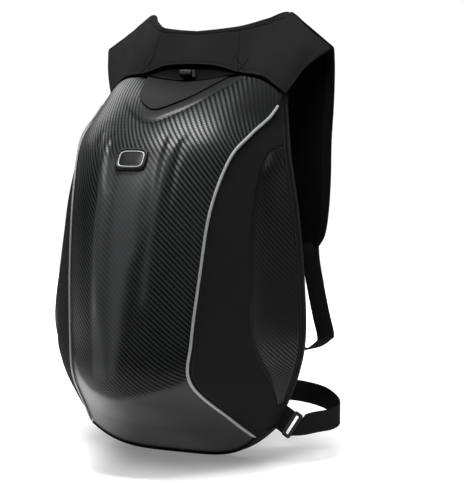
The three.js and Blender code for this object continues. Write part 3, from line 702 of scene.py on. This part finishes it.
under_across = ACROSS[np.abs(ACROSS) <= 3.0001]
under_share = np.linspace(0, 1, 13)[:, None, None]
under = lerp(foot_line(under_across)[None], skin(0, under_across)[None], under_share)
strip = sheet("foot_strip", under, normals_of(under), PANEL_WALL, panel_cloth)
fix(strip, "panel_cloth", "bottom_band")

# The piping: a grey reflective cord in a turned tape, sewn over the seam between the shell
# and the side panel.
PIPING_RADII = {"left": 1.25, "right": 1.9}
PIPING_LIFT = 0.6


def tube(line, radius, sides=12):
    """A round closed cord along points."""
    along = unit(np.gradient(line, axis=0))
    reference = unit(np.cross(along, np.array([0.3, 0.2, 1.0])))
    other = np.cross(along, reference)
    angle = (np.arange(sides) * 2 * math.pi / sides)[None, :, None]
    ring = np.cos(angle) * reference[:, None] + np.sin(angle) * other[:, None]
    radius = np.broadcast_to(np.asarray(radius, float), len(line))
    return line[:, None] + ring * radius[:, None, None]


def loft(rings, closed=False):
    """Vertices and faces of a solid through rings of points, with flat ends or closed on itself."""
    count, sides = rings.shape[:2]
    r, k = np.meshgrid(np.arange(count if closed else count - 1), np.arange(sides), indexing="ij")
    a, b = r * sides + k, r * sides + (k + 1) % sides
    above = ((r + 1) % count - r) * sides
    faces = np.stack([a, b, b + above, a + above], -1).reshape(-1, 4).tolist()
    if closed:
        return rings.reshape(-1, 3), faces
    last = (count - 1) * sides
    faces.append(list(range(sides))[::-1])
    faces.append([last + n for n in range(sides)])
    return rings.reshape(-1, 3), faces


def ring_uv(rings):
    """Arc lengths round and along a loft."""
    round_step = np.linalg.norm(np.diff(rings, axis=1), axis=-1)
    u = np.concatenate([np.zeros((len(rings), 1)), np.cumsum(round_step, axis=1)], axis=1)
    v = arc_lengths(rings.mean(axis=1))
    return np.stack([u, v[:, None] + 0 * u], -1).reshape(-1, 2)


def lofted(name, rings, material, closed=False, woven=True):
    """A piece through rings of points, with its weave laid on round and along it."""
    vertices, faces = loft(rings, closed)
    return mesh_piece(name, vertices, faces, material, ring_uv(rings) if woven else None)


cord_grey = woven_finish("reflective_cord", (0.3, 0.305, 0.31), 0.42, 0.0005, 0.35, 0.5)
cord_level = np.linspace(0.04, 8.45, 320)
for side_name, side in SIDES:
    radius = PIPING_RADII[side_name] * (0.3 + 0.7 * smooth(cord_level, 0, 0.3))
    line = skin(cord_level, side) + outward_at(cord_level, side) * (radius + PIPING_LIFT)[:, None]
    cord = lofted(f"piping_cord_{side_name}", tube(line, radius), cord_grey)
    fix(cord, "piping", f"piping_{side_name}")

# The bumper: a soft black bead pressed over the shell's lower edge from seam to seam.
bumper_across = np.linspace(-1, 1, 160)
bumper_line = skin(0.02, bumper_across) + outward_at(0.05, bumper_across) * 0.4 - [0, 0, 0.6]
bumper = tube(bumper_line, 1.2 + 0.6 * smooth(bumper_across, -1, -0.3))
bumper_rubber = woven_finish("bumper_rubber", (0.006, 0.006, 0.006), 0.7, 0.0008, 0.2)
fix(lofted("foot_bumper", bumper, bumper_rubber), "panel_cloth")

# The cover panel: a smooth satin plate welded on the top of the shell, under the slit, with
# its lower corner on the middle line.
COVER_WALL, COVER_LIFT = 1.2, 2.85
COVER = np.array([[7.58, 5], [7.78, 21], [8.05, 36], [8.4, 48], [8.75, 56], [8.97, 60]])


def moulded_finish(name, base, roughness, sockets=None, mottle=0.25):
    """Moulded plastic or metal: a fine grain, slow clouds of tone and uneven gloss."""
    material, tree, shader = painted(name, base, roughness, sockets)
    grain, cloud = noise(place_in(tree), 900, 2), noise(place_in(tree), 25, 3)
    colour = (0.5 * cloud + 0.5 * grain).blend(tinted(base, 1 - mottle), tinted(base, 1 + mottle))
    colour.into(shader, "Base Color")
    (roughness - 0.06 + 0.12 * cloud).into(shader, "Roughness")
    emboss(shader, grain, 0.3, 0.0001)
    return material


satin = moulded_finish("satin_plate", (0.0096, 0.0096, 0.01), 0.6, {"Specular IOR Level": 0.16})
cover_at, cover_share = np.meshgrid(np.linspace(0, 5, 81), np.linspace(-1, 1, 81), indexing="ij")
cover_level, cover_half = np.moveaxis(column(COVER, cover_at), -1, 0)
cover_across = cover_half * cover_share / column(LEVELS, cover_level)[..., 4]
cover = skin(cover_level, cover_across) + outward_at(cover_level, cover_across) * COVER_LIFT
plate = sheet("cover_plate", cover, normals_of(cover), COVER_WALL, satin)
fix(plate, "satin_shell", "cover_panel")

# The badge: a blank rounded plate in a raised black surround, with a bright bead pressed
# between them. It is pinned to the middle line of the shell.
BADGE_WIDTH, BADGE_HEIGHT, BADGE_LEVEL, BADGE_SQUARE = 43, 31, 6, 4.4
BADGE_LIFT, BEAD_RADIUS, BEAD_INSET, BEAD_HEIGHT = 0.4, 0.75, 4.75, 1.9
badge_out = outward_at(BADGE_LEVEL, 0)
badge_right = np.array([1.0, 0, 0])
badge_up = np.cross(badge_out, badge_right)
badge_at = skin(BADGE_LEVEL, 0) + badge_out * BADGE_LIFT
black_plastic = moulded_finish("moulded_black", (0.006, 0.006, 0.0065), 0.42, {"Specular IOR Level": 0.3})
bright_bead = moulded_finish("bright_bead", (0.62, 0.63, 0.65), 0.38, {"Metallic": 0.35}, 0.1)
badge_black = moulded_finish("badge_black", (0.009, 0.009, 0.0095), 0.3, {"Specular IOR Level": 0.5})


def rounded_square(count, power):
    """Places across and up, from -1 to 1, round a square with rounded corners."""
    angle = np.arange(count) * 2 * math.pi / count
    across, up = np.cos(angle), np.sin(angle)
    return np.sign(across) * np.abs(across) ** power, np.sign(up) * np.abs(up) ** power


def badge_rings(profile):
    """Rounded rectangles at the insets and heights of a profile, as the rings of a loft."""
    x, y = rounded_square(96, 2 / BADGE_SQUARE)
    rings = []
    for inset, height in profile:
        across = (x * (BADGE_WIDTH / 2 - inset))[:, None] * badge_right
        up = (y * (BADGE_HEIGHT / 2 - inset))[:, None] * badge_up
        rings.append(badge_at + across + up + badge_out * height)
    return np.array(rings)


surround = badge_rings([(0.6, 0), (0, 0.9), (0.5, 2.3), (1.7, 3.2),
                        (3.2, 3.1), (3.9, 2.2), (4.1, 1.1), (4.1, 0)])
rim = lofted("badge_surround", surround, black_plastic, closed=True, woven=False)
fix(rim, "black_plastic", "badge_rim")
bead = badge_rings([(BEAD_INSET - BEAD_RADIUS * math.cos(a), BEAD_HEIGHT + BEAD_RADIUS * math.sin(a))
                    for a in np.arange(8) * math.pi / 4])
fix(lofted("badge_bead", bead, bright_bead, closed=True, woven=False), "steel")
face_plate = badge_rings([(4.6, 0), (4.5, 1.2), (5, 1.6), (6.2, 1.7), (9, 2), (12, 2.2), (14, 2.25)])
fix(lofted("badge_face", face_plate, badge_black, woven=False), "satin_shell", "badge_plate")

# The back panel: a padded mesh panel against the wearer, sewn into the band all round. Its
# neck rises between the shoulder blades to the neckline of the yoke.
PANEL_PAD, PANEL_RIM = 11, 4
NECK_RISE = 79
CHANNEL_LEVELS = (1.6, 2.7, 3.8, 4.9, 6.0, 7.0)
SPINE_DEPTH, CHANNEL_DEPTH, RIM_SEAM_DEPTH = 5, 3.2, 2.2
back_mesh = woven_finish("air_mesh", (0.022, 0.022, 0.023), 0.85, 0.0011, 0.6, 0.1)


def back_front(level, share):
    """The front of the back panel, which lies on the back edge."""
    back_x, back_y, back_z = np.moveaxis(column(LEVELS, level)[..., 7:10], -1, 0)
    s = np.abs(share)
    drop = FOOT_DROP * fade(level, 0, 2) * (1 - s**FOOT_SQUARE)
    neck = smooth(level, 7, 9)
    turn = 1.1 + 1.6 * smooth(level, 5, 9)
    bulge = neck * (26 * s**2 * (1 - s**2) - 3.5 * (1 - s) ** 2)
    rise = neck * NECK_RISE * (1 - s**2.4)
    return np.stack([back_x * share, back_y + 0.3 + turn + drop * 0.12 + bulge, back_z - drop + rise], -1)


back_level, back_share = np.meshgrid(np.linspace(0, 9, 181), np.linspace(-1, 1, 121), indexing="ij")
back = back_front(back_level, back_share)
edge_share = np.maximum(np.abs(back_share), np.abs(2 * back_level / 9 - 1))
pad = lerp(PANEL_RIM, PANEL_PAD, 1 - edge_share**5)
inside_back = fade(edge_share, 0.72, 0.9)
spine = ridge(back[..., 0], 0, 9)
channels = np.clip(sum(ridge(back_level, at, 0.09) for at in CHANNEL_LEVELS), 0, 1)
pressed_in = SPINE_DEPTH * spine + CHANNEL_DEPTH * channels * (1 - spine)
pad = pad - inside_back * pressed_in - RIM_SEAM_DEPTH * ridge(edge_share, 0.86, 0.018)
back_cloth = sheet("back_pad", back, normals_of(back), pad, back_mesh)
fix(back_cloth, "strap_cloth", "back_panel")

# The yoke: brushed stretch cloth over thin foam, cut in three panels, sewn over the shell's
# top edge. It carries the neckline and runs out over the shoulders into the straps.
YOKE_WALL = 5
YOKE_ROWS, YOKE_STEPS = 64, 40      # cells from hem to neckline, and in one share
YOKE = np.array([
    # lowX lowY lowZ  topX topY topZ
    [0, 34.6, 513.8, 0, 67, 560],
    [36, 42.6, 511.8, 31, 71, 562.5],
    [69, 50.6, 502.8, 60, 84, 567],
    [92, 49.6, 499.3, 84, 114, 577.5],
    [108, 51.6, 493.3, 105, 142, 587],
    [120, 55.6, 484.8, 138, 138, 562],
    [130, 62.6, 475.3, 171, 131, 538],
])


def yoke_at(height, share):
    row = column(YOKE, np.abs(share))
    height = np.asarray(height, float)
    point = lerp(row[..., :3], row[..., 3:], height[..., None])
    point[..., 1] -= 4 * np.sin(np.pi * height) * smooth(np.abs(share), 2, 5)
    drawn_in = 13 * np.sin(np.pi * np.clip(height, 0, 1) ** 1.8) * smooth(share, 4.6, 6) ** 2
    point[..., 0] -= drawn_in
    point[..., 2] -= 0.35 * drawn_in
    point[..., 0] *= np.where(np.asarray(share) < 0, -1, 1)
    return point


yoke_cloth = woven_finish("brushed_stretch", (0.0117, 0.0117, 0.0121), 0.9, 0.0004, 0.25, 0.1, "seam_shade")
yoke_height, yoke_share = np.meshgrid(np.linspace(0, 1, YOKE_ROWS + 1),
                                      np.linspace(-6, 6, 12 * YOKE_STEPS + 1), indexing="ij")
yoke = yoke_at(yoke_height, yoke_share)
yoke_out = normals_of(yoke)
off_neck = np.abs(yoke_share)
yoke_seam = ridge(off_neck, 1.92, 0.03) * fade(yoke_height, 0.9, 0.94)
yoke_seam = yoke_seam * np.where(yoke_share < 0, 1, 0.4)
neck_seam = ridge(yoke_height, 0.885, 0.013) * fade(off_neck, 3.9, 4.05)
hem_seam = ridge(yoke_height, 0.07, 0.02)
folds = np.sin(yoke[..., 0] * 0.19 + yoke[..., 2] * 0.13 + 2 * np.sin(yoke[..., 2] * 0.07))
folds = folds * smooth(off_neck, 2.3, 4) * fade(off_neck, 5.2, 6)
slack = np.sin(yoke[..., 0] * 0.075 + 1) * np.sin(yoke_height * 5) * 0.35
puffed = 0.5 * folds + slack - 1.1 * yoke_seam - 0.5 * hem_seam - 1.2 * neck_seam
yoke = yoke + yoke_out * puffed[..., None]
yoke_out = normals_of(yoke)
seam_shade = 0.92 * np.clip(yoke_seam + 0.9 * neck_seam, 0, 1)
yoke_piece = sheet("shoulder_yoke", yoke, yoke_out, YOKE_WALL, yoke_cloth, seam_shade=seam_shade)
fix(yoke_piece, "yoke_cloth", "yoke")
neck_share = np.linspace(-3.97, 3.97, 240)
neck_line = yoke_at(np.ones(240), neck_share)
neck_down = unit(yoke_at(np.full(240, 0.9), neck_share) - neck_line)
neck_out = yoke_out[-1][np.round((neck_share + 6) * YOKE_STEPS).astype(int)]
BINDING_DROP, BINDING_REACH, BINDING_OVER = 2.6, 3.0, 0.12
turned = [(a, 0.5 * YOKE_WALL * (1 + BINDING_OVER) * math.sin(a)) for a in np.arange(12) * math.pi / 6]
binding = np.stack([neck_line + neck_down * (BINDING_DROP - BINDING_REACH * math.cos(a))
                    + neck_out * (t - YOKE_WALL / 2) for a, t in turned], 1)
fix(lofted("neck_binding", binding, yoke_cloth), "yoke_cloth")


def yoke_row(heights, shares):
    """A row on the yoke's front, along given heights and shares."""
    line = yoke_at(heights, shares)
    rows_at = np.clip(np.round(np.asarray(heights) * YOKE_ROWS).astype(int), 0, YOKE_ROWS)
    columns_at = np.round((np.asarray(shares) + 6) * YOKE_STEPS).astype(int)
    out = yoke_out[rows_at, columns_at]
    return line + out * (0.25 + puffed[rows_at, columns_at])[:, None], out


up, over = np.linspace(0.06, 0.9, 60), np.linspace(-4, 4, 300)
yoke_rows = [yoke_row(up, np.full(60, side * at)) for side in (-1, 1) for at in (1.84, 2.0)]
yoke_rows += [yoke_row(np.full(300, 0.04), over * 1.45)]
YOKE_STITCH, YOKE_PITCH = (2.4, 0.6, 0.45), 3.4
YOKE_TACK, TACK_PITCH = (2.4, 2.0, 1.3), 1.8
beads("yoke_stitches", yoke_rows, YOKE_PITCH, YOKE_STITCH, dark_thread, "yoke_cloth")
cross = np.linspace(0, 1, 12)
cross_rows = [yoke_row(lerp(low, high, cross), lerp(side * 1.86, side * 2.42, cross))
              for low, high in ((0, 0.3), (0.3, 0)) for side in (-1, 1)]
cross_rows += [yoke_row(lerp(0.33, 0.42, cross), np.full(12, 1.8))]
black_thread = thread_finish("black_thread", (0.006, 0.006, 0.006))
beads("yoke_tacks", cross_rows, TACK_PITCH, YOKE_TACK, black_thread, "yoke_cloth")

# The slit under the yoke: a flap of thin cloth behind the shell's lip, and a facing
# behind each end of the yoke's hem. The lip is a near-black bead, thick and dull as a painted
# shadow of the gap under the flap.
FLAP_WALL, FACING_WALL, LIP_RADIUS = 1.4, 1.2, 2.6
FLAP_GAP, FACING_GAP = 1.1, 0.8     # behind the yoke
flap_x = np.linspace(-69, 69, 70)
flap_share = np.interp(np.abs(flap_x), [0, 36, 69], [0, 1, 2]) * np.sign(flap_x)
lip = skin(9, flap_x / LEVELS[9, 4])
to_end = np.abs(flap_share) / 2
flap_low = np.stack([flap_x, lip[:, 1] + lerp(4, 8, to_end**2), lip[:, 2] - 4], -1)
yoke_low = yoke_at(np.array([0.14, 0.2, 0.26])[:, None], flap_share[None, :])
flap_high = yoke_low[1] - normals_of(yoke_low)[1] * (YOKE_WALL + FLAP_GAP)
flap = lerp(flap_low[None], flap_high[None], np.linspace(0, 1, 21)[:, None, None])
flap_cloth = woven_finish("slit_cloth", (0.024, 0.024, 0.0245), 0.9, 0.0004, 0.25, 0.05)
fix(sheet("slit_cloth", flap, normals_of(flap), FLAP_WALL, flap_cloth), "yoke_cloth", "slit_flap")
for side_name, side in SIDES:
    facing_share = np.linspace(2, 5.6, 60)[::side] * side
    facing_high = yoke_at(np.array([0.02, 0.08, 0.14])[:, None], facing_share[None, :])
    facing_back = facing_high[1] - normals_of(facing_high)[1] * (YOKE_WALL + FACING_GAP)
    facing_x = facing_high[0, :, 0]
    facing_lip = skin(9, np.clip(facing_x / LEVELS[9, 4], -1, 1))
    facing_low = np.stack([facing_x * 0.985, facing_lip[:, 1] + 7, facing_lip[:, 2] - 5], -1)
    facing = lerp(facing_low[None], facing_back[None], np.linspace(0, 1, 15)[:, None, None])
    fix(sheet(f"hem_facing_{side_name}", facing, normals_of(facing), FACING_WALL, flap_cloth), "yoke_cloth")
lip_x = np.linspace(-74, 74, 150)
lip_line = skin(9, lip_x / LEVELS[9, 4]) + [0, 0.6, 1.6]
lip_tube = tube(lip_line, LIP_RADIUS * np.clip((75 - np.abs(lip_x)) / 8, 0.15, 1))
# Near black and without gloss: the bead stands for the shadow in the slit's gap as much as for rubber.
lip_shadow_black = woven_finish("lip_shadow_black", (0.0012, 0.0012, 0.0012), 0.9, 0.0008, 0.2, 0.01)
fix(lofted("lip_bead", lip_tube, lip_shadow_black), "panel_cloth")

# The shoulder straps: curved foam pads in a cloth sleeve with mesh against the wearer, sewn
# to the yoke's shoulders.
STRAP = np.array([
    # innerX innerY innerZ  outerX outerY outerZ  pad
    [105.4, 142.6, 587.5, 171.4, 131.6, 538.5, 5],
    [105, 154, 583, 170, 143.5, 533.5, 7],
    [101, 164, 554, 167.5, 154, 506, 11],
    [95, 158, 490, 168, 150, 460, 14],
    [93, 147, 430, 168.5, 141, 412, 14],
    [97, 136, 370, 171, 132, 362, 14],
    [107, 126, 320, 171.5, 123, 318, 12],
    [124, 118, 285, 168.5, 116, 286, 8],
    [136, 112, 268, 161, 110, 270, 4],
])
GROOVE_DEPTH = 1.1
strap_cloth = woven_finish("sleeve_cloth", (0.0115, 0.0115, 0.012), 0.85, 0.0011, 0.6, 0.05, "mesh_side")
strap_at, strap_share = np.meshgrid(np.linspace(0, 8, 241), np.linspace(0, 1, 49), indexing="ij")
row = column(STRAP, strap_at)
strap = lerp(row[..., :3], row[..., 3:6], strap_share[..., None])
strap[..., 1] += 3 * np.sin(np.pi * strap_share) * smooth(strap_at, 0, 1.5)
shoulder_share = lerp(4, 6, strap_share[0])
shoulder = yoke_at(np.array([0.9, 0.95, 1.0])[:, None], shoulder_share[None, :])
shoulder_out = normals_of(shoulder)[2]
start = shoulder[2] + unit(shoulder[2] - shoulder[0]) * 0.45
near = fade(strap_at, 0, 0.5)[..., None]
strap = strap + (start - strap[0])[None] * near
strap_out = unit(lerp(normals_of(strap), shoulder_out[None], near))
to_edge = np.abs(2 * strap_share - 1)
foam = row[..., 6]
strap_pad = foam * lerp(0.45, 1, 1 - to_edge**6)
bound = smooth(to_edge, 0.74, 0.78)
strap_groove = ridge(to_edge, 0.75, 0.03) * smooth(strap_at, 0.4, 1)
strap = strap - strap_out * (GROOVE_DEPTH * strap_groove)[..., None]
strap_pad = lerp(strap_pad, foam, near[..., 0])
for side_name, side in SIDES:
    points, out = strap.copy(), strap_out.copy()
    points[..., 0] *= side
    out[..., 0] *= side
    thickness = strap_pad
    if side < 0:
        points, out, thickness = points[:, ::-1], out[:, ::-1], strap_pad[:, ::-1]
    vertices, faces, source = wall(points, out, thickness, np.ones((240, 48), bool))
    # The pad's inner face, the mesh side against the wearer, is darkened almost to black, partly for the
    # black mesh and partly as painted shade; its edge band a little less.
    shaded_mesh = lerp(1, 0.9, bound).ravel()[source] * (np.arange(len(source)) >= strap_at.size)
    piece = mesh_piece(f"shoulder_strap_{side_name}", vertices, faces, strap_cloth, vertices[:, [0, 2]],
                       mesh_side=shaded_mesh)
    fix(piece, "strap_cloth", f"strap_{side_name}")
    rows = [(points[12:, k] + out[12:, k] * 0.2, out[12:, k]) for k in (4, 44)]
    beads(f"strap_stitches_{side_name}", rows, STITCH_PITCH, STITCH, dark_thread, "strap_cloth")

# The lower webbing of the straps: 25 mm tape that comes out of the pad and is folded back to
# the foot of the back panel.
WEBBING = np.array([
    # x y z  tilt of the width
    [147.6, 111.5, 275, 0],
    [148.6, 109.6, 267, 0],
    [151, 107.5, 250, 0],
    [159, 104, 215, 0],
    [169, 100, 177, 0.04],
    [175.6, 97, 156, 0.15],
    [177.2, 94, 149.5, 0.24],
    [176.6, 88, 147, 0.3],
    [172, 64, 141, 0.3],
    [166, 38, 142, 0.2],
    [162, 12.8, 149, 0],
])


def centripetal(points, steps):
    """A smooth line through points that turns no tighter than it must at close ones."""
    points = np.asarray(points, float)
    ends = [2 * points[0] - points[1], 2 * points[-1] - points[-2]]
    p = np.concatenate([ends[:1], points, ends[1:]])
    line = []
    for i in range(1, len(p) - 2):
        d0, d1, d2 = (max(np.linalg.norm(p[k + 1] - p[k]) ** 0.5, 1e-4) for k in (i - 1, i, i + 1))
        t1 = ((p[i] - p[i - 1]) / d0 - (p[i + 1] - p[i - 1]) / (d0 + d1) + (p[i + 1] - p[i]) / d1) * d1
        t2 = ((p[i + 1] - p[i]) / d1 - (p[i + 2] - p[i]) / (d1 + d2) + (p[i + 2] - p[i + 1]) / d2) * d1
        share = np.linspace(0, 1, steps, endpoint=False)[:, None]
        a, b = p[i], p[i + 1]
        line.append(a + t1 * share + (-3 * a + 3 * b - 2 * t1 - t2) * share**2
                    + (2 * a - 2 * b + t1 + t2) * share**3)
    line.append(points[-1:])
    return np.concatenate(line)


def tape(points, across, width, thickness, steps=14, skewed=False):
    """Rings of a woven tape along points, with its width turned to across at each.

    A skewed tape starts with its end cut parallel to the first across.
    """
    line = centripetal(points, steps)
    along = unit(np.gradient(line, axis=0))
    at = np.arange(len(line)) / steps
    across = np.asarray(across, float)
    wide = np.stack([np.interp(at, np.arange(len(points)), across[:, k]) for k in range(3)], -1)
    squared = smooth(at, 0, 1)[:, None] if skewed else 1
    wide = unit(wide - squared * along * (wide * along).sum(-1, keepdims=True))
    out = unit(np.cross(along, wide))
    w, t = width / 2, thickness / 2
    under = [(-1, -0.35), (-0.96, -0.8), (-0.9, -1), (-0.5, -1), (0, -1),
             (0.5, -1), (0.9, -1), (0.96, -0.8), (1, -0.35)]
    profile = under + [(-a, -b) for a, b in under]
    return line[:, None] + np.stack([wide * a * w + out * b * t for a, b in profile], 1)


webbing_cloth = woven_finish("webbing_weave", (0.0085, 0.0085, 0.0095), 0.8, 0.0012, 0.8, 0.07)
STRAP_TAPE = (25, 1.8)              # width and thickness
for side_name, side in SIDES:
    path = WEBBING[:, :3] * [side, 1, 1]
    rings = tape(path, [(side, 0, tilt) for tilt in WEBBING[:, 3]], *STRAP_TAPE)
    fix(lofted(f"strap_tape_{side_name}", rings, webbing_cloth), "webbing", f"strap_webbing_{side_name}")

# The waist belt: a tab sewn to the back edge, a moulded ring and 28 mm webbing that loops
# back to the panel. The right end hangs out to the side and the left one is folded in.
BELT_TAPE, LOOP_TAPE = (28, 1.8), (35, 2.2)
RING_REACH, RING_HALF, LOOP_INSET = 11.3, 6.3, 4.1
BELT_STITCH, BELT_PITCH = (2.2, 0.8, 0.6), 3
BELT_PATHS = {
    "right": ((0.83, 0.05, -0.55), [[188, 24, 49.5], [204, 45, 51], [208, 63, 54], [199, 83, 59],
                                   [175, 94, 69], [146, 76, 79], [122, 46, 84], [107, 21.8, 86]]),
    "left": ((-0.12, 0.98, -0.08), [[-140, 44, 50], [-142, 64, 54], [-133, 82, 62], [-114, 76, 74],
                                   [-103, 48, 82], [-99, 23.1, 86]]),
}
for side_name, side in SIDES:
    out, path = BELT_PATHS[side_name]
    foot_point, head_point = skin(0, side * 4), skin(1.1, side * 4)
    along = unit(head_point - foot_point)
    out = np.array(out)
    out = unit(out - along * out.dot(along))
    face = np.cross(along, out)
    on_edge = (foot_point + head_point) / 2 + [0, 2.5, 0]
    tab_at = on_edge + out * 5 + (out * 3 if side > 0 else face * LOOP_INSET)
    ring_at = tab_at + out * RING_REACH
    start = ring_at + out * RING_HALF
    stations = [start - out * 0.6] + [np.array(p, float) for p in path]
    turns = [along] + [np.array([0, 0, 1.0])] * len(path)
    belt = lofted(f"belt_tape_{side_name}", tape(stations, turns, *BELT_TAPE, skewed=True), webbing_cloth)
    fix(belt, "webbing", f"waist_belt_{side_name}")
    root = on_edge + (face * LOOP_INSET if side < 0 else 0 * out)
    rings = tape([root - out * 2, tab_at, ring_at - out * 3.2], [along] * 3, *LOOP_TAPE)
    fix(lofted(f"belt_loop_{side_name}", rings, webbing_cloth), "webbing", f"belt_tab_{side_name}")
    sewn = [tab_at + along * 15 * a - out * 1.5 + face * 1.2 for a in np.linspace(-1, 1, 24)]
    rows = [(np.array(sewn), np.array([face] * 24))]
    beads(f"belt_stitches_{side_name}", rows, BELT_PITCH, BELT_STITCH, dark_thread, "webbing")

# The pull tab of the slit, folded from webbing under a moulded grip, with its steel clip. The
# clip and the belt rings keep the shape of their solids.
TAB_WALL = 1.5
GRIP_HALF_WIDTH, GRIP_HALF_HEIGHT, GRIP_RISE = 8.2, 3, 1.6
tab_low, tab_high = (np.array(corner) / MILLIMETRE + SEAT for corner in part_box("pull_tab"))
tab_middle = (tab_low + tab_high) / 2
_, tab_front, tab_foot = tab_low
_, tab_back, tab_top = tab_high
tab_path = [[tab_middle[0], y, z] for y, z in ((tab_back, tab_top - 1), (tab_front + 1.2, tab_top - 2.4),
                                               (tab_front + 0.9, tab_foot + 2), (tab_back, tab_foot + 1))]
folded = tape(tab_path, [(1, 0, 0)] * 4, tab_high[0] - tab_low[0], TAB_WALL)
fix(lofted("folded_tab", folded, webbing_cloth), "webbing", "pull_tab")
grip = moulded_finish("tab_grip", (0.05, 0.05, 0.051), 0.5)
grip_x, grip_z = rounded_square(48, 0.4)
grip_front = (tab_back - tab_front) / 2
grip_rings = [tab_middle + np.stack([grip_x * (GRIP_HALF_WIDTH - inset), 0 * grip_x - height - grip_front,
                                     grip_z * (GRIP_HALF_HEIGHT - inset) + GRIP_RISE], -1)
              for inset, height in ((0, -0.4), (0, 0.5), (0.5, 0.9), (1.4, 1))]
fix(lofted("tab_grip", np.array(grip_rings), grip, woven=False), "satin_shell")
steel = moulded_finish("brushed_steel", (0.45, 0.455, 0.47), 0.34, {"Metallic": 0.8}, 0.12)
moulded = {"belt_ring_left": black_plastic, "belt_ring_right": black_plastic, "tab_clip": steel}
for node, finish in moulded.items():
    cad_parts[node].data.materials.clear()
    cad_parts[node].data.materials.append(finish)
